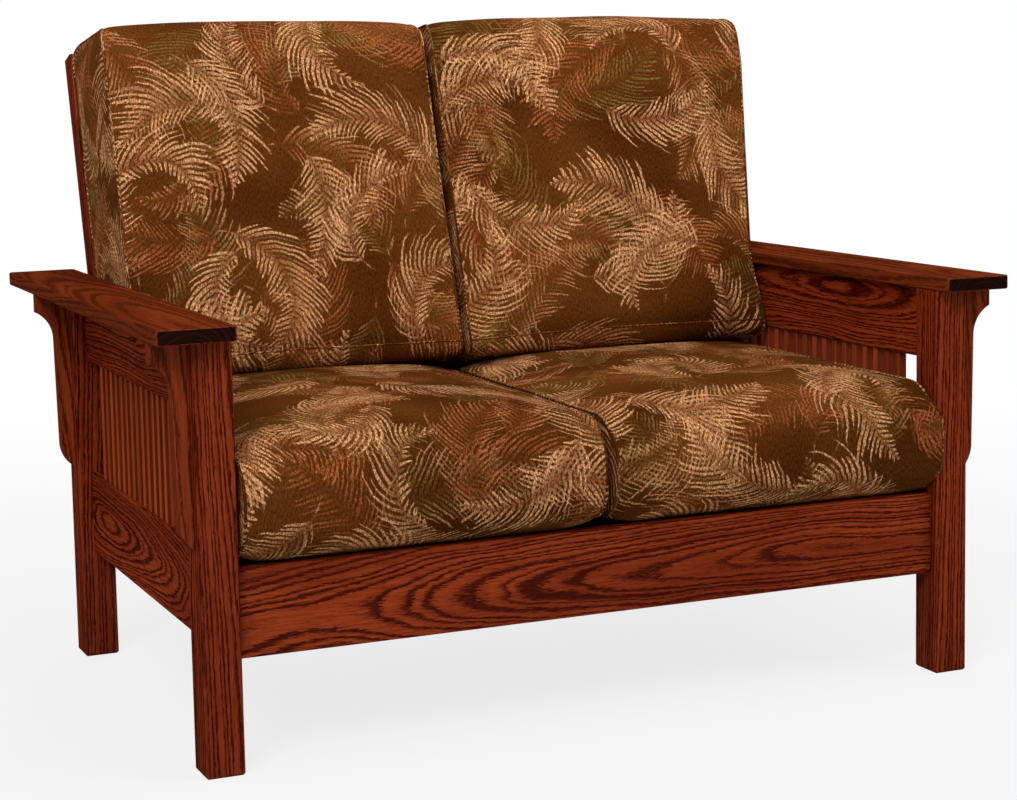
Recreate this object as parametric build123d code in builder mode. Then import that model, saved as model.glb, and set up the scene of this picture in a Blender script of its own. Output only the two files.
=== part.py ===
"""Mission settle for two: an oak frame with spindled sides, a raked slat back and four loose cushions.

Lengths are in millimetres, +Z is up, the settle faces -Y, and the origin lies on the floor under the
middle of its overall width and depth.
"""
import os
from math import cos, radians, sin, tan

from build123d import *

os.makedirs("parts", exist_ok=True)

# Driving sizes of the frame
frame_width = 1260
frame_depth = 800
leg_width = 57
leg_depth = 60
leg_height = 616
arm_length = 1000
arm_thickness = 22
arm_side_overhang = 58
arm_front_overhang = 30
back_rake = 16.8
back_stile_length = 741

# Rails between the legs
front_rail_bottom = 162
front_rail_height = 129
front_rail_setback = 18
back_rail_setback = 36
lower_rail_bottom = 180
lower_rail_height = 134
upper_rail_height = 112
side_rail_setback = 22
rail_thickness = 22

# Joinery
joint_clearance = 0.2
tenon_thickness = 10
side_tenon_length = 22
tenon_web = 2
tenon_shoulder = 10
arm_tenon_side = 30
arm_tenon_height = 14

# Eased edges
leg_edge_radius = 4
foot_chamfer = 3
arm_corner_radius = 7
arm_edge_radius = 3
rail_edge_radius = 2
small_edge_radius = 1.2

# Spindles of the side panels
spindle_count = 17
spindle_side = 14
spindle_end_gap = 73
spindle_housing = 9

# Corbels outside the legs
corbel_thickness = 22
corbel_projection = 55
corbel_lip = 30
corbel_neck_projection = 25
corbel_neck_drop = 76
corbel_foot_projection = 22
corbel_foot_drop = 251
corbel_length = 294
corbel_dowel_diameter = 8
corbel_dowel_length = 30
corbel_dowel_drops = (50, 205)

# Back frame, square to its own raked plane
back_stile_width = 28
back_stile_depth = 44
back_rail_thickness = 22
back_face_inset = 4
back_top_rail_height = 70
back_bottom_rail_height = 80
back_bottom_rail_rise = 20
back_tenon_length = 18
back_slat_count = 9
back_slat_width = 62
back_slat_thickness = 10
back_slat_housing = 14

# Drop-in seat deck on its ledgers
deck_gap = 3
deck_top_drop = 0.5
deck_member_width = 60
deck_member_thickness = 22
webbing_thickness = 2
webbing_width = 50
webbing_inset = 10
webbing_bands_per_bay = 5
deck_cloth_thickness = 1.2
deck_cloth_skirt = 14
ledger_thickness = 22
ledger_height = 30
ledger_end_gap = 2
corner_block_reach = 85
corner_block_height = 40
corner_block_drop = 5

# Screws, and the angle brackets that tie the back to the arms
screw_clearance = 0.2
screw_diameter = 4.5
screw_head_diameter = 9
screw_head_height = 3
ledger_screw_length = 36
ledger_screw_count = 5
side_ledger_screw_count = 3
block_screw_length = 34
block_screw_inset = 26
back_screw_length = 60
back_screw_rise = 140
bracket_thickness = 2.5
bracket_flange = 28
bracket_length = 32
bracket_leg_gap = 2
bracket_screw_length = 14

# Loose cushions
cushion_clearance = 0.3
cushion_side_gap = 3
seat_side_height = 180
seat_crown = 14
seat_nose_reach = 27
seat_nose_height = 102
seat_nose_radius = 78
seat_front_foot = 26
seat_end_inset = 12
back_cushion_rise = 132
back_cushion_top_drop = 6
back_cushion_thickness = 220
back_cushion_crown = 26
back_cushion_contact_share = 0.75
back_cushion_side_bow = 7
back_cushion_draw = 4
back_cushion_corner_inset = 20

# Sections of the seat cushion from side to side: shares of its width, crown and end inset
seat_section_shares = (
    (0, 0, 1),
    (0.06, 0.35, 0.1),
    (0.25, 0.85, 0),
    (0.5, 1, 0),
    (0.75, 0.85, 0),
    (0.94, 0.35, 0.1),
    (1, 0, 1),
)

# Sections of the back cushion from its base up: shares of its height, crown, draw and corner inset
back_section_shares = (
    (0, 0.2, 0, 0.5),
    (0.06, 0.5, 0, 0.05),
    (0.25, 0.9, 0.6, 0),
    (0.5, 1, 1, 0),
    (0.75, 0.9, 0.6, 0),
    (0.91, 0.5, 0, 0.1),
    (1, 0.2, 0, 1),
)

# Places worked out from the sizes above
rake = radians(back_rake)
half_width = frame_width / 2
leg_inner_x = half_width - leg_width
side_rail_outer_x = half_width - side_rail_setback
side_rail_inner_x = side_rail_outer_x - rail_thickness
side_rail_mid_x = side_rail_outer_x - rail_thickness / 2
front_rail_top = front_rail_bottom + front_rail_height
end_tenon_length = side_rail_mid_x - tenon_thickness / 2 - tenon_web - leg_inner_x
lower_rail_top = lower_rail_bottom + lower_rail_height
upper_rail_bottom = leg_height - upper_rail_height

back_foot_reach = frame_depth - back_rail_setback
back_reach = max(back_foot_reach + back_stile_length * sin(rake), arm_length - arm_front_overhang)
front_y = -(back_reach - arm_front_overhang) / 2
front_leg_back_y = front_y + leg_depth
back_leg_front_y = front_y + frame_depth - leg_depth
front_rail_y = front_y + front_rail_setback
front_rail_inner_y = front_rail_y + rail_thickness
back_rail_back_y = front_y + back_foot_reach
back_rail_inner_y = back_rail_back_y - rail_thickness

deck_top = front_rail_top - deck_top_drop
deck_member_top = deck_top - deck_cloth_thickness - webbing_thickness
deck_bottom = deck_member_top - deck_member_thickness
deck_half_width = leg_inner_x - deck_gap
deck_front_y = front_rail_inner_y + deck_gap
deck_back_y = back_rail_inner_y - deck_gap
deck_depth = deck_back_y - deck_front_y
deck_mid_y = (deck_front_y + deck_back_y) / 2
ledger_bottom = deck_bottom - ledger_height

SIDES = {"left": -1, "right": 1}
ENDS = {"front": 1, "back": -1}
FRONT_BASE = (Align.CENTER, Align.MIN, Align.MIN)
ON_BASE = (Align.CENTER, Align.CENTER, Align.MIN)


def save(piece, label):
    """Label a finished piece and write its file."""
    piece.part.label = label
    export_step(piece.part, f"parts/{label}.step")


def cut_mortise(centre, size):
    """Cut a pocket round a tenon of this centre and size."""
    with Locations(centre):
        Box(*(length + 2 * joint_clearance for length in size), mode=Mode.SUBTRACT)


def on_back(rise, forward):
    """Y and Z of a point this far up the raked back and this far in front of its rear face."""
    across = back_rail_back_y + rise * sin(rake) - forward * cos(rake)
    up = front_rail_top + rise * cos(rake) + forward * sin(rake)
    return across, up


def back_plane(forward=0):
    """The raked back's own plane: X across, Y up the rake, and its normal towards the sitter."""
    across, up = on_back(0, forward)
    return Plane(origin=(0, across, up), x_dir=(1, 0, 0), z_dir=(0, -cos(rake), sin(rake)))


# Screws: each plane lies on the head's outer face, with its normal out of the wood
def draw_screws(planes, length, grow=0, mode=Mode.ADD):
    """Add screws at these planes, or cut their holes when grown and subtracted."""
    for plane in planes:
        with BuildSketch(plane.offset(grow)) as head:
            Circle(screw_head_diameter / 2 + grow)
        extrude(head.sketch, amount=-(screw_head_height + 2 * grow), mode=mode)
        with BuildSketch(plane.offset(-screw_head_height)) as shank:
            Circle(screw_diameter / 2 + grow)
        extrude(shank.sketch, amount=-(length - screw_head_height + grow), mode=mode)


def cut_screw_holes(planes, length):
    """Cut the holes for these screws in the piece being made."""
    draw_screws(planes, length, grow=screw_clearance, mode=Mode.SUBTRACT)


def spread(count, low, high):
    """Even places for this many fasteners, half a step in from both ends."""
    step = (high - low) / count
    return [low + step * (index + 0.5) for index in range(count)]


ledger_mid_z = ledger_bottom + ledger_height / 2
front_ledger_y = front_rail_inner_y + ledger_thickness
back_ledger_y = back_rail_inner_y - ledger_thickness
side_ledger_x = side_rail_inner_x - ledger_thickness
side_ledger_front_y = front_ledger_y + ledger_end_gap
side_ledger_back_y = back_ledger_y - ledger_end_gap


def end_ledger_screws(end):
    """Screw planes of the front or back ledger."""
    face_y = front_ledger_y if end > 0 else back_ledger_y
    places = spread(ledger_screw_count, -deck_half_width, deck_half_width)
    return [Plane(origin=(x, face_y, ledger_mid_z), x_dir=(1, 0, 0), z_dir=(0, end, 0)) for x in places]


def side_ledger_screws(side):
    """Screw planes of the left or right ledger."""
    places = spread(side_ledger_screw_count, side_ledger_front_y, side_ledger_back_y)
    face_x = side * side_ledger_x
    return [Plane(origin=(face_x, y, ledger_mid_z), x_dir=(0, 1, 0), z_dir=(-side, 0, 0)) for y in places]


# Corner blocks: a triangle notched round the leg, seen from above
block_top = ledger_bottom - corner_block_drop
block_mid_z = block_top - corner_block_height / 2


def block_outline(side, end):
    """Corner points of the block, clockwise from the rail's end at the leg."""
    rail_y = front_rail_inner_y if end > 0 else back_rail_inner_y
    leg_y = front_leg_back_y if end > 0 else back_leg_front_y
    return [
        (side * leg_inner_x, rail_y),
        (side * leg_inner_x, leg_y),
        (side * side_rail_inner_x, leg_y),
        (side * side_rail_inner_x, leg_y + end * corner_block_reach),
        (side * (leg_inner_x - corner_block_reach), rail_y),
    ]


def block_screws(side, end):
    """One screw into the end rail and one into the side rail, both square to their rail."""
    points = block_outline(side, end)
    side_end = Vector(*points[3])
    rail_end = Vector(*points[4])
    rail_x = rail_end.X + side * block_screw_inset
    side_y = side_end.Y - end * block_screw_inset
    slope = (side_end.Y - rail_end.Y) / (side_end.X - rail_end.X)
    rail_head_y = rail_end.Y + slope * (rail_x - rail_end.X)
    side_head_x = rail_end.X + (side_y - rail_end.Y) / slope
    sink = end * screw_head_diameter / 2
    into_rail = Plane(origin=(rail_x, rail_head_y - sink, block_mid_z), x_dir=(1, 0, 0), z_dir=(0, end, 0))
    inward = side_head_x + side * screw_head_diameter / 2
    into_side = Plane(origin=(inward, side_y, block_mid_z), x_dir=(0, 1, 0), z_dir=(-side, 0, 0))
    return [into_rail, into_side]


def back_screw(side):
    """Screw plane on the stile's inner face, through the stile into the back leg."""
    across, up = on_back(back_screw_rise, back_stile_depth / 2)
    face_x = side * (leg_inner_x - back_stile_width)
    return Plane(origin=(face_x, across, up), x_dir=(0, 1, 0), z_dir=(-side, 0, 0))


# The angle bracket sits at the middle of the stile's depth, clear behind the back leg
bracket_level = leg_height - bracket_flange / 2 - front_rail_top
bracket_rise = bracket_level / cos(rake) - back_stile_depth / 2 * tan(rake)
stile_mid_y = on_back(bracket_rise, back_stile_depth / 2)[0]
bracket_y = max(stile_mid_y, back_leg_front_y + leg_depth + bracket_leg_gap + bracket_length / 2)


def bracket_screws(side):
    """One screw up into the arm and one across into the stile."""
    arm_x = side * (leg_inner_x + bracket_flange / 2 + bracket_thickness)
    arm_z = leg_height - bracket_thickness - screw_head_height
    stile_x = side * (leg_inner_x + bracket_thickness + screw_head_height)
    stile_z = leg_height - bracket_flange / 2 - bracket_thickness
    into_arm = Plane(origin=(arm_x, bracket_y, arm_z), x_dir=(1, 0, 0), z_dir=(0, 0, -1))
    into_stile = Plane(origin=(stile_x, bracket_y, stile_z), x_dir=(0, 1, 0), z_dir=(side, 0, 0))
    return [into_arm, into_stile]


def corbel_dowels(side, end, grow=0, mode=Mode.ADD):
    """Two dowels across the joint between a leg and its corbel."""
    y = leg_mid_y(end)
    for drop in corbel_dowel_drops:
        mid = Plane(origin=(side * half_width, y, leg_height - drop), x_dir=(0, 1, 0), z_dir=(side, 0, 0))
        with BuildSketch(mid) as dowel:
            Circle(corbel_dowel_diameter / 2 + grow)
        extrude(dowel.sketch, amount=corbel_dowel_length / 2 + grow, both=True, mode=mode)


def leg_mid_y(end):
    """Middle of the front or back leg's depth."""
    return front_leg_back_y - leg_depth / 2 if end > 0 else back_leg_front_y + leg_depth / 2


# Legs
def rail_tenon_z(bottom, height):
    """Middle height and height of a rail's tenon."""
    return bottom + height / 2, height - 2 * tenon_shoulder


def make_leg(label, side, end):
    x = side * (leg_inner_x + leg_width / 2)
    y = leg_mid_y(end)
    side_tenon_y = (front_leg_back_y if end > 0 else back_leg_front_y) - end * side_tenon_length / 2
    end_tenon_y = front_rail_y + rail_thickness / 2 if end > 0 else back_rail_back_y - rail_thickness / 2
    with BuildPart() as leg:
        with BuildSketch(Plane.XY):
            with Locations((x, y)):
                RectangleRounded(leg_width, leg_depth, leg_edge_radius)
        extrude(amount=leg_height)
        chamfer(leg.faces().sort_by(Axis.Z)[0].edges(), foot_chamfer)
        with BuildSketch(Plane.XY.offset(leg_height)):
            with Locations((x, y)):
                Rectangle(arm_tenon_side, arm_tenon_side)
        extrude(amount=arm_tenon_height)
        z, height = rail_tenon_z(front_rail_bottom, front_rail_height)
        end_tenon_x = side * (leg_inner_x + end_tenon_length / 2)
        cut_mortise((end_tenon_x, end_tenon_y, z), (end_tenon_length, tenon_thickness, height))
        for bottom, rail_height in (
            (lower_rail_bottom, lower_rail_height),
            (upper_rail_bottom, upper_rail_height),
        ):
            z, height = rail_tenon_z(bottom, rail_height)
            size = (tenon_thickness, side_tenon_length, height)
            cut_mortise((side * side_rail_mid_x, side_tenon_y, z), size)
        corbel_dowels(side, end, grow=joint_clearance, mode=Mode.SUBTRACT)
        if end < 0:
            cut_screw_holes([back_screw(side)], back_screw_length)
    save(leg, label)


# Arms lie on the legs and the upper side rails
def make_arm(label, side):
    width = arm_side_overhang + leg_width
    x = side * (leg_inner_x + width / 2)
    y = front_y - arm_front_overhang + arm_length / 2
    with BuildPart() as arm:
        with BuildSketch(Plane.XY.offset(leg_height)):
            with Locations((x, y)):
                RectangleRounded(width, arm_length, arm_corner_radius)
        extrude(amount=arm_thickness)
        top_and_bottom = arm.faces().filter_by(Axis.Z).edges()
        fillet(top_and_bottom, arm_edge_radius)
        leg_x = side * (leg_inner_x + leg_width / 2)
        for end in ENDS.values():
            centre = (leg_x, leg_mid_y(end), leg_height + arm_tenon_height / 2)
            cut_mortise(centre, (arm_tenon_side, arm_tenon_side, arm_tenon_height))
        cut_screw_holes(bracket_screws(side), bracket_screw_length)
    save(arm, label)


# Rails along X
def make_end_rail(label, y, end):
    z, height = rail_tenon_z(front_rail_bottom, front_rail_height)
    with BuildPart() as rail:
        with Locations((0, y + rail_thickness / 2, front_rail_bottom)):
            Box(2 * leg_inner_x, rail_thickness, front_rail_height, align=ON_BASE)
        fillet(rail.edges().filter_by(Axis.X), rail_edge_radius)
        with Locations((0, y + rail_thickness / 2, z)):
            Box(2 * (leg_inner_x + end_tenon_length), tenon_thickness, height)
        cut_screw_holes(end_ledger_screws(end), ledger_screw_length)
        for side in SIDES.values():
            cut_screw_holes(block_screws(side, end)[:1], block_screw_length)
    save(rail, label)


# Spindles stand in housings in the two side rails
panel_front_y = front_leg_back_y + spindle_end_gap
panel_back_y = back_leg_front_y - spindle_end_gap
panel_mid_y = (panel_front_y + panel_back_y) / 2
spindle_pitch = (panel_back_y - panel_front_y - spindle_side) / (spindle_count - 1)
spindle_height = upper_rail_bottom - lower_rail_top + 2 * spindle_housing


def draw_spindles(side, height, grow=0, mode=Mode.ADD):
    """The row of spindles of this height, centred between the two side rails."""
    mid_z = (upper_rail_bottom + lower_rail_top) / 2
    with BuildSketch(Plane.XY.offset(mid_z)) as row:
        with Locations((side * side_rail_mid_x, panel_mid_y)):
            with GridLocations(0, spindle_pitch, 1, spindle_count):
                Rectangle(spindle_side + 2 * grow, spindle_side + 2 * grow)
    extrude(row.sketch, amount=height / 2 + grow, both=True, mode=mode)


def make_side_rail(label, side, bottom, height, with_ledger):
    span = back_leg_front_y - front_leg_back_y
    z, tenon_height = rail_tenon_z(bottom, height)
    with BuildPart() as rail:
        with Locations((side * side_rail_mid_x, front_leg_back_y, bottom)):
            Box(rail_thickness, span, height, align=FRONT_BASE)
        fillet(rail.edges().filter_by(Axis.Y), rail_edge_radius)
        with Locations((side * side_rail_mid_x, front_leg_back_y + span / 2, z)):
            Box(tenon_thickness, span + 2 * side_tenon_length, tenon_height)
        draw_spindles(side, spindle_height, grow=joint_clearance, mode=Mode.SUBTRACT)
        if with_ledger:
            cut_screw_holes(side_ledger_screws(side), ledger_screw_length)
            for end in ENDS.values():
                cut_screw_holes(block_screws(side, end)[1:], block_screw_length)
    save(rail, label)


def make_spindles(label, side):
    with BuildPart() as spindles:
        draw_spindles(side, spindle_height)
        fillet(spindles.edges().filter_by(Axis.Z), small_edge_radius)
    save(spindles, label)


# Corbels: a straight lip under the arm, a hollow, a straight neck and a rounded foot
def make_corbel(label, side, end):
    middle = Plane(
        origin=(side * half_width, leg_mid_y(end), leg_height),
        x_dir=(side, 0, 0),
        z_dir=(0, -side, 0),
    )
    lip = (corbel_projection, -corbel_lip)
    neck = (corbel_neck_projection, -corbel_neck_drop)
    foot = (corbel_foot_projection, -corbel_foot_drop)
    with BuildPart() as corbel:
        with BuildSketch(middle):
            with BuildLine():
                Polyline((0, -corbel_length), (0, 0), (corbel_projection, 0), lip)
                TangentArc(neck, lip, tangent=(0, 1))
                Line(neck, foot)
                TangentArc(foot, (0, -corbel_length), tangent=(0, -1))
            make_face()
        extrude(amount=corbel_thickness / 2, both=True)
        corbel_dowels(side, end, grow=joint_clearance, mode=Mode.SUBTRACT)
    save(corbel, label)


# Back frame: two stiles, two rails and upright slats in the raked plane
back_rail_forward = back_stile_depth - back_face_inset - back_rail_thickness / 2
back_opening_half = leg_inner_x - back_stile_width
top_rail_mid = back_stile_length - back_top_rail_height / 2
bottom_rail_mid = back_bottom_rail_rise + back_bottom_rail_height / 2


def draw_back_board(x, rise, width, height, forward, thickness, grow=0, mode=Mode.ADD):
    """A board in the raked plane, given by its middle, its size and how far forward it is centred."""
    with BuildSketch(back_plane(forward)) as face:
        with Locations((x, rise)):
            Rectangle(width + 2 * grow, height + 2 * grow)
    extrude(face.sketch, amount=thickness / 2 + grow, both=True, mode=mode)


UP_THE_RAKE = Axis((0, 0, 0), (0, sin(rake), cos(rake)))
back_rails = {
    "back_top_rail": (top_rail_mid, back_top_rail_height),
    "back_bottom_rail": (bottom_rail_mid, back_bottom_rail_height),
}


def draw_back_tenons(rise, height, grow=0, mode=Mode.ADD):
    """The tenons of a back rail, as one bar from stile to stile."""
    length = 2 * (back_opening_half + back_tenon_length)
    tenon_height = height - 2 * tenon_shoulder
    draw_back_board(0, rise, length, tenon_height, back_rail_forward, tenon_thickness, grow, mode)


def make_back_stile(label, side):
    start = -back_stile_depth * tan(rake)
    x = side * (leg_inner_x - back_stile_width / 2)
    middle = (start + back_stile_length) / 2
    length = back_stile_length - start
    with BuildPart() as stile:
        draw_back_board(x, middle, back_stile_width, length, back_stile_depth / 2, back_stile_depth)
        fillet(stile.edges().filter_by(UP_THE_RAKE), rail_edge_radius)
        split(bisect_by=Plane.XY.offset(front_rail_top), keep=Keep.TOP)
        for rise, height in back_rails.values():
            draw_back_tenons(rise, height, grow=joint_clearance, mode=Mode.SUBTRACT)
        cut_screw_holes([back_screw(side)], back_screw_length)
        cut_screw_holes(bracket_screws(side)[1:], bracket_screw_length)
    save(stile, label)


slat_foot = back_bottom_rail_rise + back_bottom_rail_height - back_slat_housing
slat_head = back_stile_length - back_top_rail_height + back_slat_housing
slat_gap = (2 * back_opening_half - back_slat_count * back_slat_width) / (back_slat_count + 1)


def slat_x(index):
    """Middle of a slat, counted from the left."""
    return -back_opening_half + slat_gap + back_slat_width / 2 + index * (slat_gap + back_slat_width)


def draw_slat(index, grow=0, mode=Mode.ADD):
    """One upright slat with its housed ends."""
    middle = (slat_foot + slat_head) / 2
    length = slat_head - slat_foot
    draw_back_board(
        slat_x(index), middle, back_slat_width, length, back_rail_forward, back_slat_thickness, grow, mode
    )


def make_back_rail(label):
    rise, height = back_rails[label]
    with BuildPart() as rail:
        draw_back_board(0, rise, 2 * back_opening_half, height, back_rail_forward, back_rail_thickness)
        fillet(rail.edges().filter_by(Axis.X), rail_edge_radius)
        draw_back_tenons(rise, height)
        for index in range(back_slat_count):
            draw_slat(index, grow=joint_clearance, mode=Mode.SUBTRACT)
    save(rail, label)


def make_slat(label, index):
    with BuildPart() as slat:
        draw_slat(index)
        fillet(slat.edges().filter_by(UP_THE_RAKE), small_edge_radius)
    save(slat, label)


# Seat deck: ledgers on the rails, a loose frame on the ledgers, webbing and a cloth over it
def make_end_ledger(label, y, end):
    with BuildPart() as ledger:
        with Locations((0, y, ledger_bottom)):
            Box(2 * deck_half_width, ledger_thickness, ledger_height, align=ON_BASE)
        fillet(ledger.edges().filter_by(Axis.X), small_edge_radius)
        cut_screw_holes(end_ledger_screws(end), ledger_screw_length)
    save(ledger, label)


def make_side_ledger(label, side):
    length = side_ledger_back_y - side_ledger_front_y
    x = side * (side_ledger_x + ledger_thickness / 2)
    with BuildPart() as ledger:
        with Locations((x, side_ledger_front_y, ledger_bottom)):
            Box(ledger_thickness, length, ledger_height, align=FRONT_BASE)
        fillet(ledger.edges().filter_by(Axis.Y), small_edge_radius)
        cut_screw_holes(side_ledger_screws(side), ledger_screw_length)
    save(ledger, label)


def make_corner_block(label, side, end):
    with BuildPart() as block:
        with BuildSketch(Plane.XY.offset(block_top - corner_block_height)):
            with BuildLine():
                Polyline(*block_outline(side, end), close=True)
            make_face()
        extrude(amount=corner_block_height)
        cut_screw_holes(block_screws(side, end), block_screw_length)
    save(block, label)


def make_deck_end_member(label, y):
    with BuildPart() as member:
        with Locations((0, y, deck_bottom)):
            Box(2 * deck_half_width, deck_member_width, deck_member_thickness, align=ON_BASE)
        fillet(member.edges().filter_by(Axis.X), rail_edge_radius)
    save(member, label)


def make_deck_cross_member(label, x):
    span = deck_depth - 2 * deck_member_width
    with BuildPart() as member:
        with Locations((x, deck_front_y + deck_member_width, deck_bottom)):
            Box(deck_member_width, span, deck_member_thickness, align=FRONT_BASE)
        fillet(member.edges().filter_by(Axis.Y), rail_edge_radius)
    save(member, label)


def make_webbing(label):
    bay_mid_x = (deck_half_width - deck_member_width / 2) / 2
    bay_width = deck_half_width - deck_member_width * 3 / 2
    band_pitch = bay_width / webbing_bands_per_bay
    with BuildPart() as webbing:
        with BuildSketch(Plane.XY.offset(deck_member_top)):
            for side in SIDES.values():
                with Locations((side * bay_mid_x, deck_mid_y)):
                    with GridLocations(band_pitch, 0, webbing_bands_per_bay, 1):
                        Rectangle(webbing_width, deck_depth - 2 * webbing_inset)
        extrude(amount=webbing_thickness)
    save(webbing, label)


def make_deck_cloth(label):
    hollow_top = deck_member_top + webbing_thickness
    outer_width = 2 * (deck_half_width + deck_cloth_thickness)
    outer_depth = deck_depth + 2 * deck_cloth_thickness
    with BuildPart() as cloth:
        with BuildSketch(Plane.XY.offset(deck_member_top - deck_cloth_skirt)):
            with Locations((0, deck_mid_y)):
                Rectangle(outer_width, outer_depth)
        extrude(amount=deck_top - deck_member_top + deck_cloth_skirt)
        with BuildSketch(Plane.XY.offset(hollow_top)):
            with Locations((0, deck_mid_y)):
                Rectangle(2 * deck_half_width, deck_depth)
        extrude(amount=-(hollow_top - deck_member_top + deck_cloth_skirt), mode=Mode.SUBTRACT)
    save(cloth, label)


# Fasteners and brackets
def make_screws(label, planes, length):
    with BuildPart() as screws:
        draw_screws(planes, length)
    save(screws, label)


def make_dowels(label):
    with BuildPart() as dowels:
        for side in SIDES.values():
            for end in ENDS.values():
                corbel_dowels(side, end)
    save(dowels, label)


def make_arm_bracket(label, side):
    corner = Plane(
        origin=(side * leg_inner_x, bracket_y, leg_height),
        x_dir=(side, 0, 0),
        z_dir=(0, -side, 0),
    )
    flange = bracket_flange + bracket_thickness
    with BuildPart() as bracket:
        with BuildSketch(corner):
            with BuildLine():
                Polyline(
                    (0, 0),
                    (flange, 0),
                    (flange, -bracket_thickness),
                    (bracket_thickness, -bracket_thickness),
                    (bracket_thickness, -flange),
                    (0, -flange),
                    close=True,
                )
            make_face()
        extrude(amount=bracket_length / 2, both=True)
        cut_screw_holes(bracket_screws(side), bracket_screw_length)
    save(bracket, label)


# Seat cushions: upright sections from side to side, with a rolled nose and a crowned top
cushion_outer_x = leg_inner_x - cushion_side_gap
seat_base = front_rail_top + cushion_clearance
seat_width = cushion_outer_x - cushion_side_gap


def seat_section(x, crown, inset):
    """A section of the seat cushion: flat base, raked back, squashed rear, crowned top, rolled nose."""
    touch = back_stile_depth + cushion_clearance
    heel_rise = cushion_clearance / cos(rake) - touch * tan(rake)
    heel = on_back(heel_rise, touch)
    rear_top = on_back(back_cushion_rise - cushion_clearance, touch)
    contact = back_cushion_contact_share * back_cushion_thickness
    rear_front = on_back(back_cushion_rise - cushion_clearance, touch + contact)
    nose = (front_y - seat_nose_reach + inset, seat_base + seat_nose_height)
    shoulder = (nose[0] + seat_nose_radius, nose[1] + seat_nose_radius - inset)
    foot = (front_y + seat_front_foot + inset, seat_base)
    crest = ((shoulder[0] + rear_front[0]) / 2, seat_base + seat_side_height + crown - inset)
    with BuildSketch(Plane(origin=(x, 0, 0), x_dir=(0, 1, 0), z_dir=(1, 0, 0))) as section:
        with BuildLine():
            Polyline(foot, heel, rear_top, rear_front)
            ThreePointArc(rear_front, crest, shoulder)
            TangentArc(nose, shoulder, tangent=(0, 1))
            TangentArc(nose, foot, tangent=(0, -1))
        make_face()
    return section.sketch


def make_seat_cushion(label, side):
    sections = []
    for width_share, crown_share, inset_share in seat_section_shares:
        x = side * (cushion_side_gap + width_share * seat_width)
        sections.append(seat_section(x, crown_share * seat_crown, inset_share * seat_end_inset))
    with BuildPart() as cushion:
        loft(sections)
    save(cushion, label)


# Back cushions: level sections up the rake, with bowed sides drawn in at mid height
back_cushion_height = back_stile_length - back_cushion_top_drop - back_cushion_rise


def back_section(side, rise, crown, inset):
    """A section of the back cushion, flat behind, with bowed sides and a crowned face."""
    across, up = on_back(rise, back_stile_depth + cushion_clearance)
    level = Plane(origin=(0, across, up), x_dir=(1, 0, 0), z_dir=(0, sin(rake), cos(rake)))
    inner = side * (cushion_side_gap + inset)
    outer = side * (cushion_outer_x - inset)
    bow = side * back_cushion_side_bow
    face = -(back_cushion_thickness - inset)
    middle = (inner + outer) / 2
    with BuildSketch(level) as section:
        with BuildLine():
            Line((inner, 0), (outer, 0))
            ThreePointArc((outer, 0), (outer + bow, face / 2), (outer, face))
            ThreePointArc((outer, face), (middle, face - crown), (inner, face))
            ThreePointArc((inner, face), (inner - bow, face / 2), (inner, 0))
        make_face()
    return section.sketch


def make_back_cushion(label, side):
    sections = []
    for rise_share, crown_share, draw_share, corner_share in back_section_shares:
        rise = back_cushion_rise + rise_share * back_cushion_height
        crown = crown_share * back_cushion_crown
        draw = back_cushion_side_bow + draw_share * back_cushion_draw
        inset = draw + corner_share * back_cushion_corner_inset
        sections.append(back_section(side, rise, crown, inset))
    with BuildPart() as cushion:
        loft(sections)
    save(cushion, label)


# The pieces in turn
for side_name, side in SIDES.items():
    for end_name, end in ENDS.items():
        make_leg(f"{end_name}_{side_name}_leg", side, end)
        make_corbel(f"{end_name}_{side_name}_corbel", side, end)
        make_corner_block(f"{end_name}_{side_name}_corner_block", side, end)
    make_arm(f"{side_name}_arm", side)
    make_side_rail(f"{side_name}_upper_rail", side, upper_rail_bottom, upper_rail_height, False)
    make_side_rail(f"{side_name}_lower_rail", side, lower_rail_bottom, lower_rail_height, True)
    make_spindles(f"{side_name}_spindles", side)
    make_back_stile(f"{side_name}_back_stile", side)
    make_side_ledger(f"{side_name}_ledger", side)
    make_deck_cross_member(f"deck_{side_name}_member", side * (deck_half_width - deck_member_width / 2))
    make_arm_bracket(f"{side_name}_arm_bracket", side)
    make_seat_cushion(f"{side_name}_seat_cushion", side)
    make_back_cushion(f"{side_name}_back_cushion", side)

make_end_rail("front_rail", front_rail_y, ENDS["front"])
make_end_rail("back_seat_rail", back_rail_inner_y, ENDS["back"])
make_end_ledger("front_ledger", front_rail_inner_y + ledger_thickness / 2, ENDS["front"])
make_end_ledger("back_ledger", back_rail_inner_y - ledger_thickness / 2, ENDS["back"])
for rail_name in back_rails:
    make_back_rail(rail_name)
for slat_index in range(back_slat_count):
    make_slat(f"back_slat_{slat_index + 1}", slat_index)

make_deck_end_member("deck_front_member", deck_front_y + deck_member_width / 2)
make_deck_end_member("deck_back_member", deck_back_y - deck_member_width / 2)
make_deck_cross_member("deck_middle_member", 0)
make_webbing("seat_webbing")
make_deck_cloth("deck_cloth")
make_dowels("corbel_dowels")

ledger_screw_planes = []
block_screw_planes = []
for end in ENDS.values():
    ledger_screw_planes += end_ledger_screws(end)
for side in SIDES.values():
    ledger_screw_planes += side_ledger_screws(side)
    for end in ENDS.values():
        block_screw_planes += block_screws(side, end)
make_screws("ledger_screws", ledger_screw_planes, ledger_screw_length)
make_screws("corner_block_screws", block_screw_planes, block_screw_length)
make_screws("back_screws", [back_screw(side) for side in SIDES.values()], back_screw_length)
make_screws(
    "bracket_screws",
    [plane for side in SIDES.values() for plane in bracket_screws(side)],
    bracket_screw_length,
)
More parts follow.
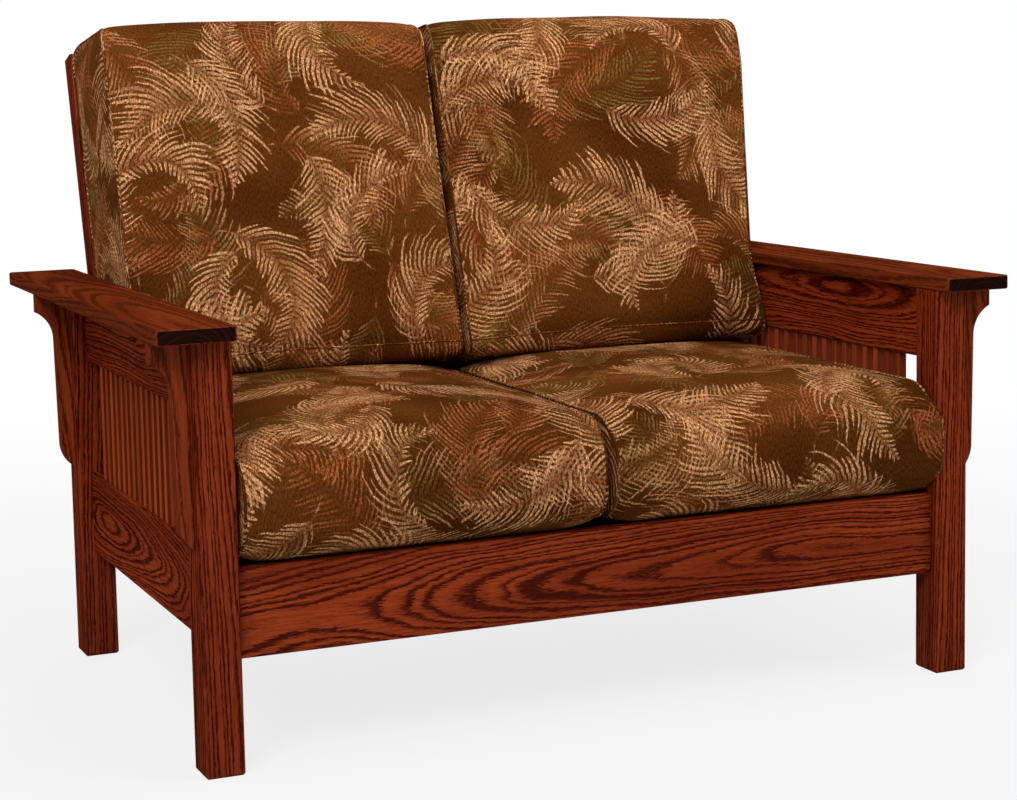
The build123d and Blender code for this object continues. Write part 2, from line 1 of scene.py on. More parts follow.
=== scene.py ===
"""The dressed mission settle: stained oak, four stuffed cushions in woven frond cloth, webbing and deck cloth.

Lengths are in metres, +Z is up and the settle faces -Y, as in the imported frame.
"""
from functools import partialmethod
from math import cos, floor, pi, radians, sin, tan

import bpy
import numpy as np
from mathutils import Matrix, Vector


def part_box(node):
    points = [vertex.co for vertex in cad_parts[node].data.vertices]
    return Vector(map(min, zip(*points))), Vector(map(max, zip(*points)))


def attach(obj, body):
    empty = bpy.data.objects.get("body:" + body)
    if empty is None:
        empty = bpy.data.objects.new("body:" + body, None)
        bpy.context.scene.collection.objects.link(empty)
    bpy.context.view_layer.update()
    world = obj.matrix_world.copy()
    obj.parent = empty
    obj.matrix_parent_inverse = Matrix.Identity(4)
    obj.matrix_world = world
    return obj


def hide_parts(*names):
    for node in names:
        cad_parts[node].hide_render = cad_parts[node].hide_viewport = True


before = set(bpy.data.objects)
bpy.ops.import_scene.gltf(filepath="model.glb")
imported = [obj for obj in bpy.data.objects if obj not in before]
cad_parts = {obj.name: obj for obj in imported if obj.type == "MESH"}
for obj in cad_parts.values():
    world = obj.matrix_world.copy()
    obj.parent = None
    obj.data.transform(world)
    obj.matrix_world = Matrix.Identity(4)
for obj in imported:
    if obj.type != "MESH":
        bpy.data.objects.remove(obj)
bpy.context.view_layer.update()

MM = 0.001

# Places read from the frame
RAKE = radians(16.8)
leg_low, leg_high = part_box("front_left_leg")
arm_low, arm_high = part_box("left_arm")
front_y = leg_low.y
leg_inner_x = -leg_high.x
back_foot_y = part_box("back_seat_rail")[1].y
seat_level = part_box("front_rail")[1].z
seat_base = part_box("left_seat_cushion")[0].z
SIDES = {"left": -1, "right": 1}

# Camera of the photograph: place, bearing, tilt and roll in degrees, focal length and rise of the frame in pixels
IMAGE_WIDTH = 1017
SENSOR_WIDTH = 36
CAMERA_PLACE = (-1.4444, -3.4610, 0.9921)
CAMERA_TURNS = (23.27, -6.62, -1.08)
FOCAL_PIXELS = 2269
SHIFT_PIXELS = -78.7

# Light: a pale world, a large key from the front left, and weaker fills; name, place, size and watts
WORLD_STRENGTH = 0.34
LAMPS = (
    ("key_light", (-3.3, -4.1, 5.0), 3.0, 268),
    ("fill_light", (3.4, -2.8, 2.6), 2.2, 40),
    ("top_light", (0.4, -0.6, 3.9), 1.8, 34),
    ("rear_light", (1.5, 4.0, 2.4), 2.5, 60),
)
LAMP_AIM = Vector((0, 0, 0.5))
FLOOR_HALF = 15
FLOOR_NEAR, FLOOR_FAR, FLOOR_GLOW = 0.9, 3.2, 0.80


def add_object(name, data):
    made = bpy.data.objects.new(name, data)
    bpy.context.scene.collection.objects.link(made)
    return made


def make_camera():
    data = bpy.data.cameras.new("photo_camera")
    data.sensor_width = SENSOR_WIDTH
    data.lens = FOCAL_PIXELS / IMAGE_WIDTH * SENSOR_WIDTH
    data.shift_y = SHIFT_PIXELS / IMAGE_WIDTH
    bearing, tilt, roll = (radians(turn) for turn in CAMERA_TURNS)
    forward = Vector((sin(bearing) * cos(tilt), cos(bearing) * cos(tilt), sin(tilt)))
    level = Vector((cos(bearing), -sin(bearing), 0))
    upright = level.cross(forward)
    right = cos(roll) * level + sin(roll) * upright
    up = cos(roll) * upright - sin(roll) * level
    camera = add_object("photo_camera", data)
    turn = Matrix((right, up, -forward)).transposed()
    camera.matrix_world = Matrix.Translation(CAMERA_PLACE) @ turn.to_4x4()
    bpy.context.scene.camera = camera


def make_lights():
    for name, place, size, power in LAMPS:
        data = bpy.data.lights.new(name, "AREA")
        data.shape = "DISK"
        data.size = size
        data.energy = power
        turn = (LAMP_AIM - Vector(place)).to_track_quat("-Z", "Y").to_matrix().to_4x4()
        add_object(name, data).matrix_world = Matrix.Translation(place) @ turn


class Wire:
    """A node's output. Sums of wires with numbers, points and other wires add the nodes that work them out."""

    def __init__(self, tree, socket):
        self.tree = tree
        self.socket = socket

    def op(self, operation, other=None, **settings):
        return self.tree.work(operation, self, other, **settings)

    __add__ = partialmethod(op, "ADD")
    __sub__ = partialmethod(op, "SUBTRACT")
    __mul__ = partialmethod(op, "MULTIPLY")
    __truediv__ = partialmethod(op, "DIVIDE")
    __abs__ = partialmethod(op, "ABSOLUTE")
    __floor__ = partialmethod(op, "FLOOR")

    def __rsub__(self, other):
        return self.tree.work("SUBTRACT", other, self)

    def split(self):
        return self.tree.node("SeparateXYZ", {0: self}, None)

    def turned(self, angle):
        return self.tree.node("VectorRotate", {"Vector": self, "Angle": angle}, rotation_type="Z_AXIS")

    def step(self, low, high, start=0.0, end=1.0):
        """A smooth step from start to end while this goes from low to high."""
        inputs = {0: self, 1: low, 2: high, 3: start, 4: end}
        return self.tree.node("MapRange", inputs, interpolation_type="SMOOTHSTEP")

    def noise(self, scale, detail=2.0, rough=0.5, out="Fac"):
        """Noise at this point. A scale of three numbers stretches it."""
        if isinstance(scale, tuple):
            return (self * scale).noise(1.0, detail, rough)
        inputs = {"Vector": self, "Scale": scale, "Detail": detail, "Roughness": rough}
        return self.tree.node("TexNoise", inputs, out)

    def random(self, out="Value"):
        return self.tree.node("TexWhiteNoise", {"Vector": self}, out, noise_dimensions="3D")


class Tree:
    """Adds shader nodes to one node tree and links them."""

    def __init__(self, tree):
        self.nodes = tree.nodes
        self.links = tree.links

    def fill(self, node, inputs):
        """Give a node's inputs wires, numbers, points or colours."""
        for key, value in inputs.items():
            socket = node.inputs[key]
            if isinstance(value, Wire):
                self.links.new(value.socket, socket)
            else:
                socket.default_value = (*value, 1) if socket.type == "RGBA" else value

    def surface(self, inputs):
        self.fill(self.nodes["Principled BSDF"], inputs)

    def node(self, kind, inputs=None, out=0, **settings):
        """Add a node and return one of its outputs, or all of them where out is None."""
        made = self.nodes.new("ShaderNode" + kind)
        for name, value in settings.items():
            setattr(made, name, value)
        self.fill(made, inputs or {})
        return [Wire(self, socket) for socket in made.outputs] if out is None else Wire(self, made.outputs[out])

    def place(self, out="Object"):
        return self.node("TexCoord", out=out)

    def flat(self):
        """Where a point of a cloth lies on the cut plan of its panel."""
        return self.node("UVMap", uv_map="cut_plan")

    def work(self, operation, a, b=None, **settings):
        """One step of a sum, of numbers or of points."""
        points = any(isinstance(value, Wire) and value.socket.type != "VALUE" for value in (a, b))
        inputs = {0: a} if b is None else {0: a, 1: b}
        out = "Value" if operation in ("LENGTH", "DOT_PRODUCT") else 0
        return self.node("VectorMath" if points else "Math", inputs, out, operation=operation, **settings)

    def join(self, x, y=0.0, z=0.0):
        return self.node("CombineXYZ", {0: x, 1: y, 2: z})

    def mix(self, factor, a, b, blend="MIX"):
        return self.node("Mix", {0: factor, 6: a, 7: b}, 2, data_type="RGBA", blend_type=blend)

    def blend(self, factor, a, b):
        return self.node("Mix", {0: factor, 2: a, 3: b}, data_type="FLOAT")

    def bump(self, height, strength, distance, normal=None):
        inputs = {"Height": height, "Strength": strength, "Distance": distance}
        return self.node("Bump", inputs if normal is None else {**inputs, "Normal": normal})

    def seen(self):
        """1 where the camera sees something straight, through glass or in a reflection."""
        straight, shiny, through = (self.node("LightPath", out=label) for label in
                                    ("Is Camera Ray", "Is Glossy Ray", "Is Transmission Ray"))
        return straight.op("MAXIMUM", through).op("MAXIMUM", shiny)


def linear(red, green, blue):
    """A linear colour from 8-bit display values."""
    return tuple(((c / 255 + 0.055) / 1.055) ** 2.4 if c > 10 else c / 255 / 12.92 for c in (red, green, blue))


def make_material(name):
    material = bpy.data.materials.new(name)
    material.use_nodes = True
    return material, Tree(material.node_tree)


def make_group(name, inputs, outputs):
    """A node group with these sockets, its tree, its input wires in order and its output node."""
    group = bpy.data.node_groups.new(name, "ShaderNodeTree")
    kinds = {"Point": "Vector", "Pith": "Vector", "Color": "Color"}
    for labels, way in ((inputs, "INPUT"), (outputs, "OUTPUT")):
        for label in labels.split():
            group.interface.new_socket(label, in_out=way, socket_type="NodeSocket" + kinds.get(label, "Float"))
    tree = Tree(group)
    given = group.nodes.new("NodeGroupInput").outputs
    return group, tree, [Wire(tree, given[label]) for label in inputs.split()], group.nodes.new("NodeGroupOutput")


# Stage: a pale floor that runs into a white background
def make_stage():
    world = bpy.data.worlds.new("studio")
    world.use_nodes = True
    tree = Tree(world.node_tree)
    strength = tree.blend(tree.seen(), WORLD_STRENGTH, 1.0)
    tree.fill(tree.nodes["Background"], {"Color": (1, 1, 1), "Strength": strength})
    bpy.context.scene.world = world
    bpy.context.scene.view_settings.view_transform = "Standard"
    mesh = bpy.data.meshes.new("floor")
    half = FLOOR_HALF
    mesh.from_pydata([(-half, -half, 0), (half, -half, 0), (half, half, 0), (-half, half, 0)], [], [(0, 1, 2, 3)])
    floor_object = add_object("floor", mesh)
    material, tree = make_material("pale_floor")
    place = tree.place()
    tree.surface({
        "Base Color": tree.mix(place.noise(3.0, 4.0), (0.60, 0.60, 0.595), (0.64, 0.64, 0.635)),
        "Roughness": 0.9,
        "Specular IOR Level": 0.0,
    })
    # Seen by the camera, the floor glows a little near the settle and turns white far from it
    far = place.op("LENGTH").step(FLOOR_NEAR, FLOOR_FAR, FLOOR_GLOW, 1.0)
    glow = tree.node("Emission", {"Color": (1, 1, 1), "Strength": 1.0})
    plain = Wire(tree, tree.nodes["Principled BSDF"].outputs[0])
    mixed = tree.node("MixShader", {0: tree.seen() * far, 1: plain, 2: glow})
    tree.fill(tree.nodes["Material Output"], {"Surface": mixed})
    mesh.materials.append(material)


# Oak: yearly rings round a pith, cut by the faces of each board, with open pores in the early wood
RING_WIDTH = 5.2
OAK_PORE = linear(46, 6, 1)
OAK_EARLY = linear(82, 18, 5)
OAK_LATE = linear(130, 46, 18)
OAK_LIGHT = linear(158, 68, 32)
OAK_END = linear(8, 2, 1)
OAK_TINT = linear(104, 50, 22)
# Painted light on the spindles, and painted shade between them mixed with their own tone
OAK_PAINTED_LIGHT = linear(222, 102, 50)
OAK_PAINTED_SHADE_AND_TONE = linear(54, 14, 6)
OAK_WORN = linear(150, 70, 36)
HALF = (0.5, 0.5, 0.5)


def make_oak_group():
    """Colour, height and pores of stained oak at a point given along the grain (X) and across it (Y, Z)."""
    group, tree, given, result = make_group("oak_grain", "Point Pith Slope Figure Ring End", "Color Height Dark")
    point, pith, slope, figure, ring_width, end = given
    # Slow wander of the trunk, then small ripples of the rings
    wander = (point.noise((1.5, 5.0, 5.0), 1.0) - 0.5) * figure
    sideways = (point.noise((3.8, 12.0, 12.0), 1.0) - 0.5) * figure
    ripple = (point.noise((11.0, 60.0, 60.0)) - 0.5) * 0.0045
    _, across, depth = (point - pith).split()
    across = sideways * 0.35 + across
    depth = point.split()[0] * slope + depth + wander
    rings = (tree.join(across, depth).op("LENGTH") + ripple) / ring_width
    # Open streaks that run with the grain make the edges of each ring ragged
    uneven = tree.join(rings * 0.45).noise(1.0, 1.0) - 0.5
    streak = point.noise((60.0, 680.0, 680.0), 3.0, 0.7) - 0.5
    rings = rings + uneven * 2.2 + streak * 1.25
    phase = rings.op("FRACT")
    early_end = tree.join(floor(rings), 3.7, 1.3).random() * 0.26 + 0.16
    early = phase.step(0.0, 0.09) * (1.0 - (phase - early_end).step(-0.06, 0.34))
    fibre = point.noise((14.0, 330.0, 330.0), 3.0, 0.65).step(0.3, 0.75)
    cloud = point.noise((2.0, 14.0, 14.0)).step(0.35, 0.75, 0.0, 0.55)
    late = tree.mix(cloud, tree.mix(fibre, OAK_LATE, OAK_LIGHT), OAK_EARLY)
    pores = point.noise((70.0, 1500.0, 1500.0), 1.0).step(0.44, 0.60)
    porous = early * (pores * 0.45 + 0.55)
    fleck = point.noise((60.0, 900.0, 900.0), 1.0).step(0.63, 0.72, 0.0, 0.55)
    colour = tree.mix(early * 0.86, late, OAK_EARLY)
    colour = tree.mix(porous * 0.88, colour, OAK_PORE)
    colour = tree.mix(fleck, colour, OAK_PORE)
    colour = tree.mix(end, colour, tree.mix(0.93, colour, OAK_END))
    tree.fill(result, {"Color": colour, "Height": fleck * -0.7 - porous, "Dark": porous})
    return group


# Which coordinates run along the grain, across the board and into its depth
RUNS = {
    "width": (0, 2, 1),
    "arm": (1, 0, 2),
    "side": (1, 2, 0),
    "upright": (2, 0, 1),
    "rake": (2, 0, 1),
}


def oak_material(name, run, pith, slope, figure, ring, tint=0.0, shade=0.0, by_island=False, gloss=0.34, lift=0.0):
    """Stained oak whose grain follows one of RUNS.

    pith is where the middle of the trunk lies, across the board and in its depth.
    """
    material, tree = make_material(name)
    place, normal = tree.place(), tree.place("Normal")
    if run == "rake":
        place, normal = (tree.node("VectorRotate", {"Vector": way, "Angle": RAKE, "Axis": (1, 0, 0)},
                                   rotation_type="AXIS_ANGLE") for way in (place, normal))
    parts = place.split()
    point = tree.join(*(parts[axis] for axis in RUNS[run]))
    if by_island:
        drawn = tree.join(tree.node("NewGeometry", out="Random Per Island"), 0.31, 0.77).random("Color")
        point = point + (drawn - HALF) * (6.0, 0.09, 0.09)
    end = abs(normal.split()[RUNS[run][0]]).step(0.75, 0.95)
    given = dict(enumerate((point, (0, *pith), slope, figure, ring, end)))
    colour, height, dark = tree.node("Group", given, None, node_tree=oak_group)
    if tint:
        colour = tree.mix(end * -tint + tint, colour, OAK_TINT)
    # Painted light: a paler oak is mixed in all over where lift is given
    if lift:
        colour = tree.mix(lift, colour, OAK_PAINTED_LIGHT)
    if by_island:
        # Painted shade: faces that look towards the next spindle are darker; each spindle also takes the stain
        # differently
        between = abs(normal.split()[1]).step(0.6, 0.9, 0.0, 0.75)
        colour = tree.mix(between.op("MAXIMUM", drawn.split()[0] * 0.58), colour, OAK_PAINTED_SHADE_AND_TONE)
    if shade:
        left = 1 - shade
        colour = tree.mix(1.0, colour, (left, left * 0.96, left * 0.94), "MULTIPLY")
    # Rubbed edges, where hands have left the finish thinner and the wood paler
    edge = tree.node("Bevel", {"Radius": 2.5 * MM}, samples=4)
    worn = (1.0 - edge.op("DOT_PRODUCT", tree.node("NewGeometry", out="Normal"))).step(0.02, 0.22)
    worn = worn * place.noise(22.0, 3.0).step(0.40, 0.62)
    facing = tree.node("LayerWeight", {"Blend": 0.5}, "Facing")
    tree.surface({
        "Base Color": tree.mix(worn * 0.40, colour, OAK_WORN),
        "Roughness": place.noise(9.0, 4.0) * 0.16 + (gloss - 0.06) + dark * 0.14,
        "Specular IOR Level": 0.0,
        "Coat Weight": (1.0 - facing).op("POWER", 1.5) * 0.07,
        "Coat Roughness": 0.16,
        "Normal": tree.bump(height + place.noise(16.0) * 0.6, 0.35, 0.25 * MM, edge),
    })
    return material


def dress(node, material):
    """Give a CAD node this material."""
    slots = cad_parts[node].data.materials
    slots.clear()
    slots.append(material)


def board(node, run, across, depth, slope, figure, ring=RING_WIDTH, **looks):
    """Dress an oak board with rings this far apart, in millimetres.

    The middle of the trunk lies across and depth millimetres from the board's own middle. On a raked board depth
    goes forward from the rear plane of the back.
    """
    low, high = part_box(node)
    middle = (low + high) / 2
    _, across_axis, depth_axis = RUNS[run]
    if run == "rake":
        deep = back_foot_y * cos(RAKE) - seat_level * sin(RAKE) - depth * MM
    else:
        deep = middle[depth_axis] + depth * MM
    pith = (middle[across_axis] + across * MM, deep)
    dress(node, oak_material("oak_" + node, run, pith, slope, figure, ring * MM, **looks))


def dress_frame():
    """Every oak board, each from another place in the trunk."""
    board("front_rail", "width", -12, 45, 0.030, 0.085, 4.7)
    board("back_seat_rail", "width", 20, -50, -0.05, 0.06)
    board("back_top_rail", "width", 30, -60, 0.06, 0.05)
    board("back_bottom_rail", "width", -40, -60, 0.06, 0.05)
    for index in range(9):
        board("back_slat_%d" % (index + 1), "rake", (index % 3 - 1) * 20, -30 - 12 * (index % 2),
              0.03 * (index % 4 - 1.5), 0.05)
    for side_name, side in SIDES.items():
        for end_name, slope in (("front", 0.02), ("back", -0.02)):
            corner = end_name + "_" + side_name
            board(corner + "_leg", "upright", -50 * side, 34, slope, 0.020, 4.4, shade=0.15)
            board(corner + "_corbel", "upright", 20 * side, 60, 0.03 * side, 0.03, 4.6, tint=0.15)
        board(side_name + "_arm", "arm", 15 * side, -55, 0.03, 0.05, 6.5, tint=0.42, shade=0.15, gloss=0.27)
        board(side_name + "_upper_rail", "side", 30, 45 * side, 0.04 * side, 0.07, 4.6)
        board(side_name + "_lower_rail", "side", -10, -50 * side, -0.05 * side, 0.08, 4.6)
        # Spindles: painted shade on the faces towards their neighbours, and painted light all over
        board(side_name + "_spindles", "upright", 50, 0, 0.0, 0.03, 4.6, by_island=True, lift=0.46)
        board(side_name + "_back_stile", "rake", 0, -40, 0.02, 0.03, 4.4)


def plain_wood_material():
    """Unfinished hardwood of the hidden pieces, planed, with a faint straight grain."""
    material, tree = make_material("plain_hardwood")
    place = tree.place()
    stretch = place.noise((9.0, 110.0, 110.0), 3.0, 0.6)
    ramp = tree.node("ValToRGB", {0: stretch})
    stops = ramp.socket.node.color_ramp.elements
    stops.new(0.5)
    tones = ((0.25, linear(150, 112, 74)), (0.5, linear(186, 148, 104)), (0.8, linear(206, 172, 126)))
    for stop, (share, colour) in zip(stops, tones):
        stop.position = share
        stop.color = (*colour, 1)
    cloud = place.noise(5.0).step(0.4, 0.7, 0.0, 0.35)
    tree.surface({
        "Base Color": tree.mix(cloud, ramp, linear(168, 124, 84)),
        "Roughness": stretch * 0.2 + 0.55,
        "Normal": tree.bump(stretch, 0.3, 0.2 * MM),
    })
    return material


def metal_material(name, dark, light):
    """Plated metal with fine scuffs."""
    material, tree = make_material(name)
    place = tree.place()
    bloom = place.noise(240.0, 3.0)
    tree.surface({
        "Base Color": tree.mix(bloom, dark, light),
        "Metallic": 1.0,
        "Roughness": place.noise((900.0, 120.0, 900.0)) * 0.3 + 0.25,
        "Normal": tree.bump(bloom, 0.1, 0.1 * MM),
    })
    return material


def dress_hidden():
    """Deck frame, ledgers, blocks and fasteners."""
    plain = plain_wood_material()
    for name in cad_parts:
        if name.startswith("deck_") and name != "deck_cloth" or name.endswith(("ledger", "corner_block", "dowels")):
            dress(name, plain)
        if name.endswith(("screws", "bracket")):
            dress(name, zinc_surface)


# Cushion cloth: feathery fronds in tan, rust and olive, woven into a brown twill
CLOTH_BROWN = linear(92, 48, 15)
CLOTH_PALE = linear(100, 56, 20)
CLOTH_DARK = linear(66, 31, 8)
CLOTH_TAN = linear(236, 174, 120)
CLOTH_RUST = linear(178, 98, 56)
CLOTH_OLIVE = linear(128, 102, 48)
CLOTH_ROOT = linear(132, 70, 34)
CLOTH_SHEEN = linear(196, 150, 96)
FROND_LENGTH = 0.86
FROND_SPREAD = 6.2
# Layers of fronds from the back to the front: pitch, turn, seed, leaflets, sweep, fan, tone, strength
FROND_LAYERS = (
    (0.300, 0.7, 1.3, 26, 1.0, 1.0, CLOTH_OLIVE, 0.70),
    (0.270, -1.1, 2.9, 24, 0.8, 1.1, CLOTH_RUST, 0.75),
    (0.310, 1.9, 4.1, 28, 1.0, 1.1, CLOTH_RUST, 0.80),
    (0.280, -0.4, 5.7, 25, 0.8, 1.2, CLOTH_OLIVE, 0.85),
    (0.290, -2.2, 6.6, 26, 0.9, 1.1, CLOTH_RUST, 0.90),
    (0.300, 1.2, 7.9, 25, 0.9, 1.0, CLOTH_TAN, 0.92),
    (0.260, 0.2, 8.4, 21, 0.8, 1.2, CLOTH_TAN, 0.96),
    (0.280, 2.6, 9.2, 23, 0.8, 1.1, CLOTH_TAN, 1.00),
)


def make_frond_group():
    """One layer of scattered fronds: how much cloth they cover, a place along each leaflet, a draw per frond."""
    group, tree, given, result = make_group("frond_layer", "Point Pitch Turn Seed Leaflets Sweep Fan",
                                            "Mask Tip Draw")
    point, pitch, turn, seed, leaflets, sweep, fan = given
    spot = point.turned(turn) / tree.join(pitch, pitch, 1.0) + tree.join(seed * 7.31, seed * 3.17)
    # Every other row of cells is shifted by half a cell
    spot = spot + tree.join(floor(spot.split()[1]).op("FLOORED_MODULO", 2.0) * 0.5)
    cell_x, cell_y, _ = floor(spot).split()
    red, green, blue = tree.join(cell_x, cell_y, seed).random("Color").split()
    local = (spot.op("FRACTION") - (0.5, 0.5, 0.0)).turned((red - 0.5) * FROND_SPREAD)
    x, y, _ = local.split()
    # The rib is an arc: nearly straight on some fronds, close to a half circle on others
    curve = (green * 2.0).op("FRACT") * 2.6 + 0.9
    radius = tree.work("DIVIDE", 1.0, curve)
    drop = curve * -0.06 + radius - y * (green - 0.5).op("SIGN")
    share = x.op("ARCTAN2", drop) * radius * (1 / FROND_LENGTH) + 0.5
    outward = tree.join(x, drop).op("LENGTH") - radius
    side = abs(outward)
    # Each leaflet leaves the rib at a slant and curls towards the tip
    root = share - (side * sweep + side * side * fan)
    leaflet = root * leaflets
    which = outward.op("SIGN") * 0.37 + (cell_x * 5.3 + cell_y)
    each = tree.join(floor(leaflet), which, seed).random()
    # Leaflets are longest a third of the way up and vanish at the tip, and shorter inside the arc
    rest = tree.work("SUBTRACT", 1.0, root, use_clamp=True)
    reach = root.op("ADD", 0.04, use_clamp=True).op("POWER", 0.5) * rest * 0.66 * (each * 0.45 + 0.55)
    reach = reach * tree.blend(outward.op("GREATER_THAN", 0.0), curve * -0.24 + 1.15, 1.0)
    tip = side / reach.op("MAXIMUM", 0.001)
    slim = tip * -0.46 + 0.54 + (each * 31.0).op("FRACT") * 0.34
    edge = abs(leaflet.op("FRACT") - 0.5) * 2.0
    blade = (1.0 - (edge - slim).step(-0.14, 0.14)) * (each * 9.0).op("FRACT").step(0.02, 0.30, 0.25, 1.0)
    leaf = (1.0 - tip.step(0.90, 1.0)) * blade * root.step(0.0, 0.01) * root.step(1.0, 0.99)
    rib = (1.0 - side.step(0.002, 0.007)) * share.step(-0.12, -0.04) * share.step(1.0, 0.96)
    leaf = leaf.op("MAXIMUM", rib * 0.7) * local.op("LENGTH").step(0.54, 0.49)
    tree.fill(result, {"Mask": leaf, "Tip": tip, "Draw": blue})
    return group


def cloth_material(name, shift, level):
    """The cushion cloth. It reads the flat place of each thread from the panels' cut plan."""
    material, tree = make_material(name)
    flat = tree.flat() + (*shift, 0)
    bent = flat
    for scale, width in ((5.0, 0.05), (55.0, 0.006)):
        bent = bent + (flat.noise(scale, 1.0, out="Color") - HALF) * (width, width, 0.0)
    colour = tree.mix(flat.noise(5.5).step(0.35, 0.65), CLOTH_BROWN, CLOTH_PALE)
    colour = tree.mix(flat.noise(2.6).step(0.42, 0.62, 0.0, 0.75), colour, CLOTH_DARK)
    speckle = flat.noise((420.0, 210.0, 1.0), 2.0, 0.8).step(0.40, 0.58, 0.15, 1.0)
    raised = None
    for *given, tone, strength in FROND_LAYERS:
        given = dict(enumerate((bent, *given)))
        mask, tip, draw = tree.node("Group", given, None, node_tree=frond_group)
        pale = tone == CLOTH_TAN
        leaf = tree.mix(tip.step(-0.15, 0.55), CLOTH_ROOT if pale else CLOTH_BROWN, tone)
        if not pale:
            leaf = tree.mix((tip * draw).step(0.15, 0.75, 0.0, 0.7), leaf, CLOTH_TAN)
        cover = mask * strength * speckle * (draw.step(0.22, 0.24) if pale else draw.step(0.06, 0.08))
        colour = tree.mix(cover, colour, leaf)
        if pale:
            raised = raised.op("MAXIMUM", cover) if raised else cover
    # Twill: fine ribs on the slant, with loose bright and dark threads
    u, v, _ = flat.split()
    rib = (u * 4200.0 + v * 1500.0).op("SINE")
    thread = flat.noise((470.0, 150.0, 1.0), 2.0, 0.8)
    # A level under 1 darkens the cloth all over: painted shade on the seat cushions
    tone = thread * (3.0 * level) + -0.50 * level + rib * 0.06
    tree.surface({
        "Base Color": tree.mix(1.0, colour, tree.join(tone, tone, tone), "MULTIPLY"),
        "Roughness": raised * -0.16 + 0.86,
        "Specular IOR Level": 0.0,
        "Sheen Weight": 0.04,
        "Sheen Roughness": 0.45,
        "Sheen Tint": CLOTH_SHEEN,
        "Normal": tree.bump(rib * 0.18 + thread * 0.8 + raised * 0.9, 0.55, 0.5 * MM),
    })
    return material


def plain_weave_material(name, dark, light, threads, stripe=None):
    """A close plain weave in two near tones, with a lengthwise stripe where one is given."""
    material, tree = make_material(name)
    flat = tree.flat()
    u, v, _ = flat.split()
    weave = (u * threads).op("SINE") * (v * threads).op("SINE") * 0.5 + 0.5
    lint = flat.noise((180.0, 180.0, 1.0), 3.0, 0.7)
    colour = tree.mix(weave * lint, dark, light)
    colour = tree.mix(flat.noise(7.0, 3.0).step(0.5, 0.8, 0.0, 0.3), colour, light)
    if stripe:
        band = abs(v).step(8 * MM, 7 * MM) * abs(v).step(3 * MM, 4 * MM)
        colour = tree.mix(band * 0.8, colour, stripe)
    tree.surface({
        "Base Color": colour,
        "Roughness": lint * 0.15 + 0.78,
        "Specular IOR Level": 0.1,
        "Normal": tree.bump(weave * 0.8, 0.5, 0.3 * MM),
    })
    return material


# Cushions: an outline in the YZ plane with rounded corners, swept from side to side
MESH_STEP = 9 * MM
FINE_STEP = 1 * MM
SEAM_ROWS = (0, 3 * MM, 7 * MM, 13 * MM)
SIDE_GAP = 1.2 * MM
OUTER_GAP = 0.8 * MM
INNER_SEAM = 7 * MM + SIDE_GAP
END_PLAN = (0.31, 0.52)

BACK_REST = 44.3 * MM
SPLIT_RISE = 132 * MM
TOUCH = 0.3 * MM
FOOT_ROUND = 66 * MM
BACK_DEPTH = 228 * MM
BACK_TOP = SPLIT_RISE + 591 * MM
REAR_RISE = 35 * MM
# How far in from each end the cushions close, how deep, and the same for the seam's corner at each side
SEAT_ROUND = (74 * MM, 15 * MM)
BACK_ROUND = (24 * MM, 6 * MM)
RIGHT_END_ROUND = 0.3
CORNER = {-1: 24 * MM, 1: 16 * MM}
# How far the right cushions lean outward: the back cushion at its top and below the arm, the seat at its nose
TOP_LEAN = 40 * MM
LOW_LEAN = 8 * MM
NOSE_LEAN = 13 * MM
# Under the back cushion the seat stays low as far as this, then rises; and where its foot starts to curl up
CONTACT_REACH, CONTACT_FADE = 206 * MM, 26 * MM
CURL_REACH = 50 * MM

SWELL_CAP = 24 * MM
SIM_FRAMES = 20
STUFFING = {
    "quality": 6,
    "mass": 0.25,
    "tension_stiffness": 12,
    "compression_stiffness": 12,
    "shear_stiffness": 6,
    "bending_stiffness": 1.2,
    "use_pressure": True,
    "uniform_pressure_force": 4.0,
    "vertex_group_mass": "seams",
}


def unit(vectors):
    """These vectors at length 1."""
    return vectors / np.linalg.norm(vectors, axis=-1, keepdims=True)


def part(value, whole):
    """What part of the whole this is, from 0 to 1."""
    return np.clip(value / whole, 0, 1)


def lengths_along(points):
    """How far along a run of points each one lies."""
    return np.concatenate(([0], np.cumsum(np.linalg.norm(np.diff(points, axis=0), axis=1))))


def lattice(along, across):
    """A grid of places of the cut plan."""
    return np.stack(np.meshgrid(along, across, indexing="ij"), axis=-1)


